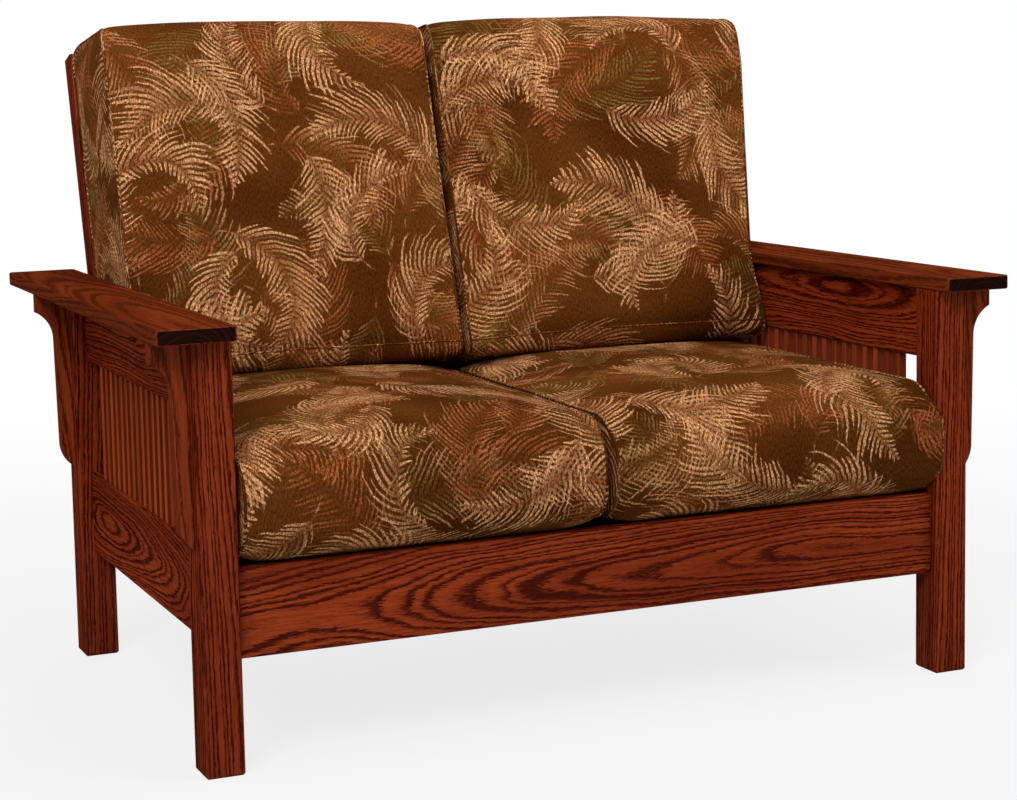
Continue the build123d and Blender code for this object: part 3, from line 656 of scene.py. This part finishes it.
class Skin:
    """Points, faces and cut plan of a mesh, laid down sheet by sheet."""

    def __init__(self):
        self.points, self.faces, self.plan = [], [], []

    def squares(self, ids, plan, turned=False):
        """Add faces between rows of point numbers, with the cut plan of their corners."""
        for i in range(len(ids) - 1):
            for j in range(len(ids[0]) - 1):
                corners = [(i, j), (i, j + 1), (i + 1, j + 1), (i + 1, j)]
                if turned:
                    corners.reverse()
                self.faces.append([int(ids[corner]) for corner in corners])
                self.plan += [tuple(plan[corner]) for corner in corners]

    def sheet(self, points, along, across, turned=False, cap=None):
        """Add rows of points and the squares between them, at these places of the cut plan.

        A direction with one more place than points comes round to its first point. A cap closes both ends, and is
        all at one place of the plan.
        """
        rows, width = points.shape[:2]
        ids = len(self.points) + np.arange(rows * width).reshape(rows, width)
        self.points += points.reshape(-1, 3).tolist()
        wrapped = ids[np.arange(len(along)) % rows][:, np.arange(len(across)) % width]
        self.squares(wrapped, lattice(along, across), turned)
        if cap:
            way = 1 if turned else -1
            self.faces += [ids[0, ::way].tolist(), ids[-1, ::-way].tolist()]
            self.plan += [cap] * (2 * width)

    def tube(self, path, across, upright, radius, around, closed=False):
        """Add a tube round a path, capped where it is open."""
        turns = 2 * pi * np.arange(around)[:, None] / around
        rings = path[:, None] + radius * (np.cos(turns) * across[:, None] + np.sin(turns) * upright[:, None])
        lengths = lengths_along(np.vstack((path, path[:1])) if closed else path)
        girth = radius * 2 * pi * np.arange(around + 1) / around
        self.sheet(rings, lengths, girth, turned=True, cap=None if closed else (0.0, 0.0))


def on_back(rise, forward):
    """Y and Z of a point this far up the raked back and this far in front of its rear plane."""
    across = back_foot_y + rise * sin(RAKE) - forward * cos(RAKE)
    up = seat_level + rise * cos(RAKE) + forward * sin(RAKE)
    return np.array((across, up))


def to_back(points):
    """Rise up the raked back and reach in front of it, for an array of Y and Z."""
    y = points[:, 0] - back_foot_y
    z = points[:, 1] - seat_level
    return y * sin(RAKE) + z * cos(RAKE), z * sin(RAKE) - y * cos(RAKE)


def rounded_outline(corners):
    """Points along a closed outline of (point, radius) corners, and where each corner's middle lies on it."""
    points, marks = [], []
    for index, (corner, radius) in enumerate(corners):
        before = unit(corners[index - 1][0] - corner)
        after = unit(corners[(index + 1) % len(corners)][0] - corner)
        half_angle = np.arccos(np.clip(before @ after, -1, 1)) / 2
        reach = radius / tan(half_angle)
        centre = corner + unit(before + after) * radius / sin(half_angle)
        start = corner + before * reach - centre
        finish = corner + after * reach - centre
        turn = np.arctan2(start[0] * finish[1] - start[1] * finish[0], start @ finish)
        steps = max(4, int(abs(turn) * radius / FINE_STEP) // 2 * 2)
        marks.append(len(points) + steps // 2)
        for angle in turn * np.arange(steps + 1) / steps:
            points.append(centre + np.array((start[0] * cos(angle) - start[1] * sin(angle),
                                             start[0] * sin(angle) + start[1] * cos(angle))))
    return np.array(points), marks


def four_sides(corners, splits, counts):
    """The outline as four evenly stepped sides between the corners named in splits."""
    points, marks = rounded_outline(corners)
    sides = []
    for index, split in enumerate(splits):
        start, finish = marks[split], marks[splits[(index + 1) % 4]]
        run = points[start:finish + 1] if finish > start else np.concatenate((points[start:], points[:finish + 1]))
        lengths = lengths_along(run)
        wanted = np.linspace(0, lengths[-1], counts[index % 2] + 1)
        sides.append(np.stack([np.interp(wanted, lengths, run[:, axis]) for axis in (0, 1)], axis=1))
    return sides


def fill_between(sides):
    """A grid of points that fills four sides, which follow each other round a closed outline."""
    left, top, right, bottom = sides[0], sides[1], sides[2][::-1], sides[3][::-1]
    s = np.linspace(0, 1, len(left))[:, None, None]
    t = np.linspace(0, 1, len(top))[None, :, None]
    ruled = (1 - t) * left[:, None] + t * right[:, None] + (1 - s) * bottom[None] + s * top[None]
    return ruled - (1 - t) * ((1 - s) * left[0] + s * left[-1]) - t * ((1 - s) * right[0] + s * right[-1])


def seat_corners():
    """Heel, rear top, dip under the back cushion, shoulder and foot of the seat cushion."""
    return [
        (np.array((on_back(0, BACK_REST)[0] - 1.5 * MM, seat_base)), 12 * MM),
        (on_back(SPLIT_RISE - TOUCH, BACK_REST), 14 * MM),
        (on_back(SPLIT_RISE - TOUCH, BACK_REST + 150 * MM), 60 * MM),
        (np.array((front_y - 17 * MM, seat_base + 180 * MM)), 80 * MM),
        (np.array((front_y - 8 * MM, seat_base)), 62 * MM),
    ]


def back_corners():
    """Rear bottom, rear top, front top and front bottom of the back cushion."""
    return [
        (on_back(SPLIT_RISE, BACK_REST), 14 * MM),
        (on_back(BACK_TOP + REAR_RISE, BACK_REST), 34 * MM),
        (on_back(BACK_TOP, BACK_REST + BACK_DEPTH), 46 * MM),
        (on_back(SPLIT_RISE, BACK_REST + BACK_DEPTH), 24 * MM),
    ]


def nose_share(points):
    """0 on most of a seat cushion's outline, rising to 1 at its front."""
    return part(front_y + 60 * MM - points[:, 0], 80 * MM)


def seat_pull(points, side):
    """How far the ends of the seat cushion draw in: rounded corners, front and rear."""
    behind = part(BACK_REST + 90 * MM - to_back(points)[1], 90 * MM)
    return 2 * MM * nose_share(points) ** 2 + 14 * MM * behind ** 2


def back_pull(points, side):
    """How far the ends of the back cushion draw in: rounded top corners, and a little at the bottom."""
    rise, reach = to_back(points)
    crest = BACK_TOP + REAR_RISE * (1 - (reach - BACK_REST) / BACK_DEPTH)
    high = part(rise - crest + CORNER[side] * 1.2, CORNER[side] * 1.2)
    low = part(SPLIT_RISE + 22 * MM - rise, 22 * MM)
    waist = np.sin(part(rise - SPLIT_RISE, BACK_TOP - SPLIT_RISE) * pi)
    return CORNER[side] * (1 - np.sqrt(1 - high ** 2 * 0.99)) + 2 * MM * low ** 2 + 1 * MM * waist


def seat_lean(points, side):
    """How far the nose of a seat cushion leans out in front of the leg."""
    return (side > 0) * NOSE_LEAN * part(front_y + 12 * MM - points[:, 0], 18 * MM)


def back_lean(points, side):
    """How far the front of a back cushion's outer end leans out, at its top and below the arm."""
    ahead = part(to_back(points)[1] - BACK_REST - 20 * MM, 130 * MM)
    above = part(points[:, 1] - arm_high.z, 340 * MM)
    below = part(arm_low.z - 4 * MM - points[:, 1], 80 * MM)
    return (side > 0) * ahead * (TOP_LEAN * above + LOW_LEAN * below)


def push(points, distance, direction):
    """Move points by these distances along a direction in the YZ plane."""
    points[:, 1] += distance * direction[0]
    points[:, 2] += distance * direction[1]


UP_BACK = (sin(RAKE), cos(RAKE))
OFF_BACK = (-cos(RAKE), sin(RAKE))


def hold_seat(points, side):
    """Keep a seat cushion on the deck, in front of the back, under the back cushion and between the legs."""
    points[:, 2] = np.maximum(points[:, 2], seat_base)
    rise, reach = to_back(points[:, 1:])
    push(points, np.maximum(0, BACK_REST - reach), OFF_BACK)
    under = 1 - part(reach - BACK_REST - CONTACT_REACH, CONTACT_FADE)
    push(points, -np.maximum(0, rise - SPLIT_RISE + TOUCH) * under, UP_BACK)
    # The front edge curls up off the rail, so that a dark gap stays under it
    curl = np.clip(front_y + CURL_REACH - points[:, 1], 0, FOOT_ROUND * 0.9)
    lift = FOOT_ROUND - np.sqrt(FOOT_ROUND ** 2 - curl ** 2)
    points[:, 2] = np.maximum(points[:, 2], seat_base + lift)
    room = 40 * MM if side > 0 else 3 * MM
    return np.clip((front_y - 1 * MM - points[:, 1]) * 2, 0, room)


def hold_back(points, side):
    """Keep a back cushion on the seat cushion, in front of the back and between the arms."""
    rise, reach = to_back(points[:, 1:])
    push(points, np.maximum(0, BACK_REST - reach), OFF_BACK)
    push(points, np.maximum(0, SPLIT_RISE - rise), UP_BACK)
    above = np.clip((points[:, 2] - arm_high.z - 1 * MM) * 0.5, 0, 9 * MM)
    below = np.clip(arm_low.z - 1 * MM - points[:, 2], 0, 3 * MM)
    return above + below + back_lean(points[:, 1:], side)


def end_rows(length):
    """Distances of the mesh rows from one end to the other, close together near both seams."""
    inner = length - 2 * SEAM_ROWS[-1]
    count = int(inner / MESH_STEP)
    middle_rows = [SEAM_ROWS[-1] + inner * index / count for index in range(count + 1)]
    return np.array([*SEAM_ROWS[:-1], *middle_rows, *(length - distance for distance in SEAM_ROWS[-2::-1])])


class Cushion(Skin):
    """A cushion's panels as one mesh: a long panel wrapped round the outline and a panel at each end."""

    def __init__(self, side, corners, splits, counts, pull, lean, round_off, inset, nose_drop=0.0):
        super().__init__()
        self.side, self.counts, self.pull, self.lean = side, counts, pull, lean
        self.ring = np.concatenate([run[:-1] for run in four_sides(corners, splits, counts)])
        self.outer = leg_inner_x - OUTER_GAP - inset
        self.rows = end_rows(self.outer - INNER_SEAM)
        wrap = np.array([self.row(distance, round_off, nose_drop) for distance in self.rows])
        lengths = lengths_along(np.vstack((self.ring, self.ring[:1])))
        self.sheet(wrap, INNER_SEAM + self.rows, lengths, turned=side < 0)
        self.add_end(False)
        self.add_end(True)

    def closing(self, nose_drop):
        """Which way and how much each place of the outline draws in where the ends close."""
        along = unit(np.roll(self.ring, -1, axis=0) - np.roll(self.ring, 1, axis=0))
        inward = np.stack((-along[:, 1], along[:, 0]), axis=1)
        inward *= np.sign((inward * (self.ring.mean(axis=0) - self.ring)).sum())
        if nose_drop:
            # The ends close in from above and below more than from in front
            inward *= ((1 + nose_drop * nose_share(self.ring)) * (0.15 + 0.85 * np.abs(inward[:, 1])))[:, None]
        return inward

    def row(self, distance, round_off, nose_drop):
        """The outline at this distance from the inner seam."""
        length = self.outer - INNER_SEAM
        reach, depth = round_off
        share = max(0.0, 1 - min(distance, length - distance) / reach)
        drop = depth * (1 - np.sqrt(1 - share ** 2 * 0.98))
        if self.side > 0 and distance > length / 2:
            drop *= RIGHT_END_ROUND
        outline = self.ring + self.closing(nose_drop) * drop
        centre = (INNER_SEAM + self.outer) / 2
        x = centre + (INNER_SEAM + distance - centre) * (1 - 2 * self.pull(outline, self.side) / length)
        x = x + self.lean(outline, self.side) * distance / length
        return np.column_stack((self.side * x, outline))

    def add_end(self, last):
        """The panel inside one seam, at the outer end of the cushion where last is true."""
        count, (rows, columns) = len(self.ring), self.counts
        first = (len(self.rows) - 1) * count if last else 0
        outline = np.array(self.points[first:first + count])[:, 1:]
        marks = (0, rows, rows + columns, 2 * rows + columns, count)
        outline = np.vstack((outline, outline[:1]))
        grid = fill_between([outline[low:high + 1] for low, high in zip(marks, marks[1:])])
        down, over = np.arange(rows + 1), np.arange(columns + 1)
        ids = np.zeros((rows + 1, columns + 1), int)
        ids[1:-1, 1:-1] = len(self.points) + np.arange((rows - 1) * (columns - 1)).reshape(rows - 1, -1)
        ids[0] = first + (count - over) % count
        ids[:, -1] = first + marks[3] - down
        ids[-1] = first + rows + over
        ids[:, 0] = first + down
        inside = grid[1:-1, 1:-1].reshape(-1, 2)
        end, inward = (self.outer, -1) if last else (INNER_SEAM, 1)
        x = end + inward * self.pull(inside, self.side) + last * self.lean(inside, self.side)
        self.points += np.column_stack((self.side * x, inside)).tolist()
        self.squares(ids, grid + (end + END_PLAN[0], END_PLAN[1]), turned=last != (self.side < 0))

    def column(self, place):
        """Vertex numbers, from end to end, of the lengthwise line of the wrap that passes nearest this place."""
        nearest = int(np.argmin(np.linalg.norm(self.ring - place, axis=1)))
        return np.arange(len(self.rows)) * len(self.ring) + nearest

    def seams(self):
        """Vertex numbers of the two seams."""
        ring = np.arange(len(self.ring))
        return [ring.tolist(), (ring + (len(self.rows) - 1) * len(self.ring)).tolist()]


def mesh_object(name, skin, material, smooth=True):
    mesh = bpy.data.meshes.new(name)
    mesh.from_pydata(skin.points, [], skin.faces)
    layer = mesh.uv_layers.new(name="cut_plan")
    layer.data.foreach_set("uv", np.array(skin.plan, np.float32).ravel())
    mesh.polygons.foreach_set("use_smooth", [smooth] * len(mesh.polygons))
    mesh.materials.append(material)
    mesh.update()
    return add_object(name, mesh)


def read_points(mesh):
    flat = np.zeros(len(mesh.vertices) * 3, np.float32)
    mesh.vertices.foreach_get("co", flat)
    return flat.reshape(-1, 3).astype(float)


def write_points(mesh, points):
    mesh.vertices.foreach_set("co", points.astype(np.float32).ravel())
    mesh.update()


def read_normals(mesh):
    return np.array([vertex.normal for vertex in mesh.vertices])


def swell(piece, seams):
    """Stuff the cover: cloth under pressure, held at its seams, with the swelling kept under a cap."""
    group = piece.vertex_groups.new(name="seams")
    for seam in seams:
        group.add(seam, 1.0, "REPLACE")
    cloth = piece.modifiers.new("stuffing", "CLOTH")
    for name, value in STUFFING.items():
        setattr(cloth.settings, name, value)
    cloth.settings.effector_weights.gravity = 0
    cloth.point_cache.frame_start = 1
    cloth.point_cache.frame_end = SIM_FRAMES
    before = read_points(piece.data)
    scene = bpy.context.scene
    for number in range(1, SIM_FRAMES + 1):
        scene.frame_set(number)
        swollen = piece.evaluated_get(bpy.context.evaluated_depsgraph_get()).data
    moved = read_points(swollen) - before
    piece.modifiers.remove(cloth)
    piece.vertex_groups.remove(group)
    scene.frame_set(1)
    size = np.maximum(np.linalg.norm(moved, axis=1)[:, None], 1e-9)
    write_points(piece.data, before + moved * np.tanh(size / SWELL_CAP) * SWELL_CAP / size)


def waves(points, length, seed):
    """A smooth wander between -1 and 1 with features of about this length."""
    drawn = np.random.default_rng(seed)
    total = np.zeros(len(points))
    for _ in range(6):
        direction = unit(drawn.normal(size=3))
        total += np.sin(points @ direction * 2 * pi / (length * drawn.uniform(0.7, 1.5)) + drawn.uniform(0, 2 * pi))
    return total / 6


# Size, reach from the seams and height of the small folds, and of the stuffing's broad unevenness
FOLD_SIZE, FOLD_REACH, FOLD_HEIGHT = 34 * MM, 45 * MM, 1.6 * MM
BROAD_SIZE, BROAD_REACH, BROAD_HEIGHT = 210 * MM, 60 * MM, 2.2 * MM
CALM_REACH = 5 * MM


def crumple(mesh, cushion, seed):
    """Small folds that start at the seams, and a broad unevenness of the stuffing."""
    points = read_points(mesh)
    x = np.abs(points[:, 0])
    near = np.minimum(np.abs(x - INNER_SEAM), np.abs(cushion.outer - x))
    fold = waves(points * np.array((0.35, 1, 1)), FOLD_SIZE, seed) * np.exp(-near / FOLD_REACH) * FOLD_HEIGHT
    fold *= 1 - np.exp(-near / CALM_REACH)
    broad = waves(points, BROAD_SIZE, seed + 1) * BROAD_HEIGHT
    moved = fold + broad * (1 - np.exp(-near / BROAD_REACH))
    moved[sum(cushion.seams(), [])] = 0
    write_points(mesh, points + read_normals(mesh) * moved[:, None])


def sink(mesh, cushion, column, depth, spread):
    """Draw one lengthwise line of the cover in, and its neighbours by these shares of that depth."""
    points, normals = read_points(mesh), read_normals(mesh)
    count = len(cushion.ring)
    fade = part(np.minimum(cushion.rows, cushion.rows[-1] - cushion.rows), 12 * MM)[:, None]
    for step, share in enumerate(spread):
        for shift in {step, -step}:
            ids = np.arange(len(cushion.rows)) * count + (column[0] + shift) % count
            points[ids] -= normals[ids] * depth * share * fade
    write_points(mesh, points)


TUBE_SIDES = 8


def make_tube(name, path, radius, material, closed=True, side_hint=(1.0, 0, 0)):
    path = np.array(path)
    along = unit(np.roll(path, -1, axis=0) - np.roll(path, 1, axis=0) if closed else np.gradient(path, axis=0))
    across = unit(np.cross(along, side_hint))
    skin = Skin()
    skin.tube(path, across, np.cross(across, along), radius, TUBE_SIDES, closed)
    return mesh_object(name, skin, material)


def finish_piece(piece, body):
    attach(piece, body)


WELT_RADIUS = 2.0 * MM
LONG_SEAM_RADIUS = 1.5 * MM
LONG_SEAM_DEPTH = 2.4 * MM
LONG_SEAM_RISE = 21 * MM
ZIP_GROOVE = 3.6 * MM
ZIP_MARGIN = 40 * MM
TAPE_HALF = 9 * MM
TAPE_THICKNESS = 0.5 * MM
TEETH_RADIUS = 1.7 * MM
TEETH_RISE = 1.4 * MM
TOOTH_PITCH = 2.4 * MM
PULL_LENGTH = 20 * MM
PULL_HALF = 3.2 * MM
PULL_STEPS = 28
PULL_WIRE = 0.8 * MM
PULL_RISE = 1.5 * MM
PULL_SHIFT = 5 * MM


def make_zip(node, body, points, normals, column):
    """A closed zip along one line of a cushion: its tape, its coil of teeth and its pull."""
    margin = np.abs(points[column][:, 0])
    inside = (margin > margin.min() + ZIP_MARGIN) & (margin < margin.max() - ZIP_MARGIN)
    line = points[column][inside]
    out = unit(normals[column][inside])
    along = unit(np.gradient(line, axis=0))
    across = np.cross(along, out)
    offsets = np.linspace(-TAPE_HALF, TAPE_HALF, 5)
    skin = Skin()
    skin.sheet((line + out * TAPE_THICKNESS)[:, None] + across[:, None] * offsets[:, None], line[:, 0], offsets)
    tape = mesh_object(node + "_zip_tape", skin, zip_tape_surface)
    tape.modifiers.new("thick", "SOLIDIFY").thickness = TAPE_THICKNESS
    finish_piece(tape, body)
    # The coil is a tube that narrows between the teeth
    fine = int(abs(line[-1][0] - line[0][0]) / TOOTH_PITCH) * 2
    shares = np.linspace(0, len(line) - 1, fine)
    raised = line + out * TEETH_RISE
    path = np.stack([np.interp(shares, np.arange(len(line)), raised[:, axis]) for axis in range(3)], axis=1)
    teeth = make_tube(node + "_zip_teeth", path, TEETH_RADIUS, zip_metal_surface, False, (0, 0, 1))
    centres = path.repeat(TUBE_SIDES, axis=0)
    ridge = np.where(np.arange(fine) % 2, 1.0, 0.72).repeat(TUBE_SIDES)[:, None]
    write_points(teeth.data, centres + (read_points(teeth.data) - centres) * ridge)
    finish_piece(teeth, body)
    # The pull lies flat against the tape
    turns = 2 * pi * np.arange(PULL_STEPS)[:, None] / PULL_STEPS
    loop = line[1] + out[1] * PULL_RISE + along[1] * (PULL_LENGTH / 2) * (1 + np.cos(turns))
    loop = loop + across[1] * (PULL_HALF * np.sin(turns) + PULL_SHIFT)
    finish_piece(make_tube(node + "_zip_pull", loop, PULL_WIRE, zip_metal_surface, True, out[1]), body)


def make_cushion(side_name, kind, cushion, hold, material, seed, zip_place, long_seam=None):
    """One cushion: swollen cover, its seams and its zip, and the body it rides on."""
    body = side_name + "_" + kind
    node = body + "_cushion"
    cover = mesh_object(node + "_cover", cushion, material)
    mesh = cover.data
    swell(cover, cushion.seams())
    crumple(mesh, cushion, seed)
    points = read_points(mesh)
    room = leg_inner_x - OUTER_GAP + hold(points, cushion.side)
    points[:, 0] = cushion.side * np.minimum(np.maximum(points[:, 0] * cushion.side, SIDE_GAP), room)
    write_points(mesh, points)
    zip_line = cushion.column(zip_place)
    sink(mesh, cushion, zip_line, ZIP_GROOVE, (1.0, 1.0, 0.35))
    if long_seam is not None:
        seam_line = cushion.column(long_seam)
        sink(mesh, cushion, seam_line, LONG_SEAM_DEPTH, (1.0, 0.25))
    points, normals = read_points(mesh), read_normals(mesh)
    smooth = cover.modifiers.new("smooth", "SUBSURF")
    smooth.levels = smooth.render_levels = 1
    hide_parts(node)
    finish_piece(cover, body)
    for label, seam in zip(("inner", "outer"), cushion.seams()):
        welt = make_tube(node + "_" + label + "_seam", points[seam], WELT_RADIUS, material)
        finish_piece(welt, body)
    if long_seam is not None:
        welt = make_tube(node + "_lower_seam", points[seam_line], LONG_SEAM_RADIUS, material, False, (0, 0, 1))
        finish_piece(welt, body)
    make_zip(node, body, points, normals, zip_line)


def make_cushions():
    for index, (side_name, side) in enumerate(SIDES.items()):
        # The seat cloth is painted darker than the back cloth, at level 0.88: painted shade
        material = cloth_material("cloth_seat_" + side_name, (0.37 + 1.9 * index, 0.21 + 0.53 * index), 0.88)
        seat = Cushion(side, seat_corners(), (0, 1, 3, 4), (22, 68), seat_pull, seat_lean, SEAT_ROUND, 6 * MM, 0.1)
        make_cushion(side_name, "seat", seat, hold_seat, material, 11 + index, on_back(SPLIT_RISE / 2, BACK_REST))
        material = cloth_material("cloth_back_" + side_name, (2.83 + 1.7 * index, 1.45 + 0.71 * index), 1.0)
        back = Cushion(side, back_corners(), (1, 2, 3, 0), (20, 64), back_pull, back_lean, BACK_ROUND, 3 * MM)
        make_cushion(side_name, "back", back, hold_back, material, 31 + index,
                     on_back(SPLIT_RISE + 70 * MM, BACK_REST),
                     on_back(SPLIT_RISE + LONG_SEAM_RISE, BACK_REST + BACK_DEPTH))


# Seat deck: elastic bands across two bays, and a dark cloth over them with its edges stapled down
BAND_WIDTH = 50 * MM
BAND_THICKNESS = 1.7 * MM
BAND_SAG = 2.5 * MM
BAND_PITCH = 96 * MM
BANDS_PER_BAY = 5
BAND_STATIONS = 49
CLOTH_THICKNESS = 1.0 * MM
CLOTH_DIP = 1.2 * MM
CLOTH_STEPS = (120, 60)
SKIRT_LEVELS = (0.35, 1.0)
DIP_FADE = 18 * MM
EDGE_FADE = 25 * MM
RIPPLE = 0.15 * MM
STAPLE_PITCH = 62 * MM
STAPLE_HALF = 5 * MM
STAPLE_LEG = 6 * MM
STAPLE_WIRE = 0.45 * MM
STAPLE_SIDES = 6


def band_places():
    """X of the middle of each band."""
    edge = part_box("seat_webbing")[1].x
    steps = BAND_PITCH * (np.arange(BANDS_PER_BAY) - (BANDS_PER_BAY - 1) / 2)
    bay = edge - BAND_WIDTH / 2 - steps[-1]
    return np.concatenate((steps - bay, steps + bay))


def make_webbing():
    """Ten stretched bands that dip a little between the members that they are fixed to."""
    low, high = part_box("seat_webbing")
    front_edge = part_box("deck_front_member")[1].y
    back_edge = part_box("deck_back_member")[0].y
    top = high.z - 0.1 * MM
    shares = (-1.0, -0.96, -0.6, -0.2, 0.2, 0.6, 0.96, 1.0)
    rounding = (0.35, 0, 0, 0, 0, 0, 0, 0.35)
    upper = [(share * BAND_WIDTH / 2, -inset * BAND_THICKNESS) for share, inset in zip(shares, rounding)]
    profile = upper + [(x, -BAND_THICKNESS - z) for x, z in upper[::-1]]
    stations = np.linspace(low.y, high.y, BAND_STATIONS)
    dips = BAND_SAG * np.sin(part(stations - front_edge, back_edge - front_edge) * pi) ** 2
    skin = Skin()
    for place in band_places():
        rings = [[(place + x, y, top + z - dip) for x, z in profile] for y, dip in zip(stations, dips)]
        skin.sheet(np.array(rings), stations, [x for x, _ in profile + profile[:1]], cap=(0.0, 0.02))
    weave = plain_weave_material("elastic_webbing", linear(30, 24, 20), linear(74, 60, 46), 2800.0,
                                 linear(150, 96, 44))
    bands = mesh_object("seat_webbing_bands", skin, weave, smooth=False)
    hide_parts("seat_webbing")
    finish_piece(bands, "frame")


def make_deck_cloth():
    """A dark cloth stretched over the deck, sunk a little between the bands, its edges turned down."""
    low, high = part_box("deck_cloth")
    half_thick = CLOTH_THICKNESS / 2
    top = high.z - half_thick
    x_low, x_high = low.x + half_thick, high.x - half_thick
    y_low, y_high = low.y + half_thick, high.y - half_thick
    skirt = high.z - low.z - half_thick
    columns, rows = CLOTH_STEPS
    xs = np.linspace(x_low, x_high, columns + 1)
    ys = np.linspace(y_low, y_high, rows + 1)
    x, y = np.meshgrid(xs, ys)
    off = np.abs(x[..., None] - band_places()).min(axis=-1) - BAND_WIDTH / 2
    between = part(off, DIP_FADE)
    edge = part(np.minimum(np.minimum(x - x_low, x_high - x), np.minimum(y - y_low, y_high - y)), EDGE_FADE)
    ripple = RIPPLE * np.sin(y * 95.0 + 3 * np.sin(x * 21.0))
    dip = (CLOTH_DIP * np.sin(between * pi / 2) ** 2 + ripple * between) * edge
    skin = Skin()
    skin.sheet(np.stack((x, y, top - dip), axis=-1), ys, xs)
    skin.plan = [(across, along) for along, across in skin.plan]
    ids = np.arange(len(skin.points)).reshape(rows + 1, -1)
    above = [*ids[0, :-1], *ids[:-1, -1], *ids[-1, :0:-1], *ids[:0:-1, 0]]
    rim = [skin.points[index][:2] for index in above]
    for level in SKIRT_LEVELS:
        drop = level * skirt
        below = [len(skin.points) + step for step in range(len(rim))]
        skin.points += [[*place, top - drop] for place in rim]
        plan = lattice(0.01 * np.arange(len(rim) + 1), (drop, drop + 0.01))
        skin.squares(np.array((above + above[:1], below + below[:1])).T, plan)
        above = below
    weave = plain_weave_material("deck_cambric", linear(20, 15, 12), linear(46, 36, 28), 3600.0)
    cloth = mesh_object("deck_cloth_sheet", skin, weave)
    thick = cloth.modifiers.new("thick", "SOLIDIFY")
    thick.thickness = CLOTH_THICKNESS
    thick.offset = 0.0
    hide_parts("deck_cloth")
    finish_piece(cloth, "frame")
    staples = make_staples(low, high, top - 0.6 * skirt)
    flat = (x_high - x_low + 2 * skirt, y_high - y_low + 2 * skirt)
    flat[0] * flat[1] - 4 * skirt ** 2


def make_staples(low, high, level):
    """Wire staples through the turned-down edge of the deck cloth."""
    places = []
    for x in np.arange(low.x + STAPLE_PITCH, high.x - STAPLE_PITCH / 2, STAPLE_PITCH):
        places += [((x, low.y), (0, -1)), ((x, high.y), (0, 1))]
    for y in np.arange(low.y + STAPLE_PITCH, high.y - STAPLE_PITCH / 2, STAPLE_PITCH):
        places += [((low.x, y), (-1, 0)), ((high.x, y), (1, 0))]
    upright = np.array((0, 0, 1.0))
    skin = Skin()
    for place, (out_x, out_y) in places:
        out = np.array((out_x, out_y, 0.0))
        crown = np.array((out_y, -out_x, 0.0)) * STAPLE_HALF
        centre = np.array((*place, level)) + out * STAPLE_WIRE * 0.6
        leg = out * STAPLE_LEG
        path = np.array((centre - crown - leg, centre - crown, centre + crown, centre + crown - leg))
        across = np.cross(unit(np.gradient(path, axis=0)), upright)
        skin.tube(path, across, np.tile(upright, (4, 1)), STAPLE_WIRE, STAPLE_SIDES)
    staples = mesh_object("deck_cloth_staples", skin, zinc_surface, smooth=False)
    finish_piece(staples, "frame")
    return staples


oak_group = make_oak_group()
frond_group = make_frond_group()
zip_tape_surface = plain_weave_material("zip_tape", linear(58, 30, 12), linear(96, 54, 24), 4200.0)
zinc_surface = metal_material("zinc_steel", linear(150, 150, 146), linear(196, 196, 190))
zip_metal_surface = metal_material("zip_bronze", linear(78, 54, 30), linear(120, 86, 50))
make_camera()
make_lights()
make_stage()
dress_frame()
dress_hidden()
make_webbing()
make_deck_cloth()
make_cushions()
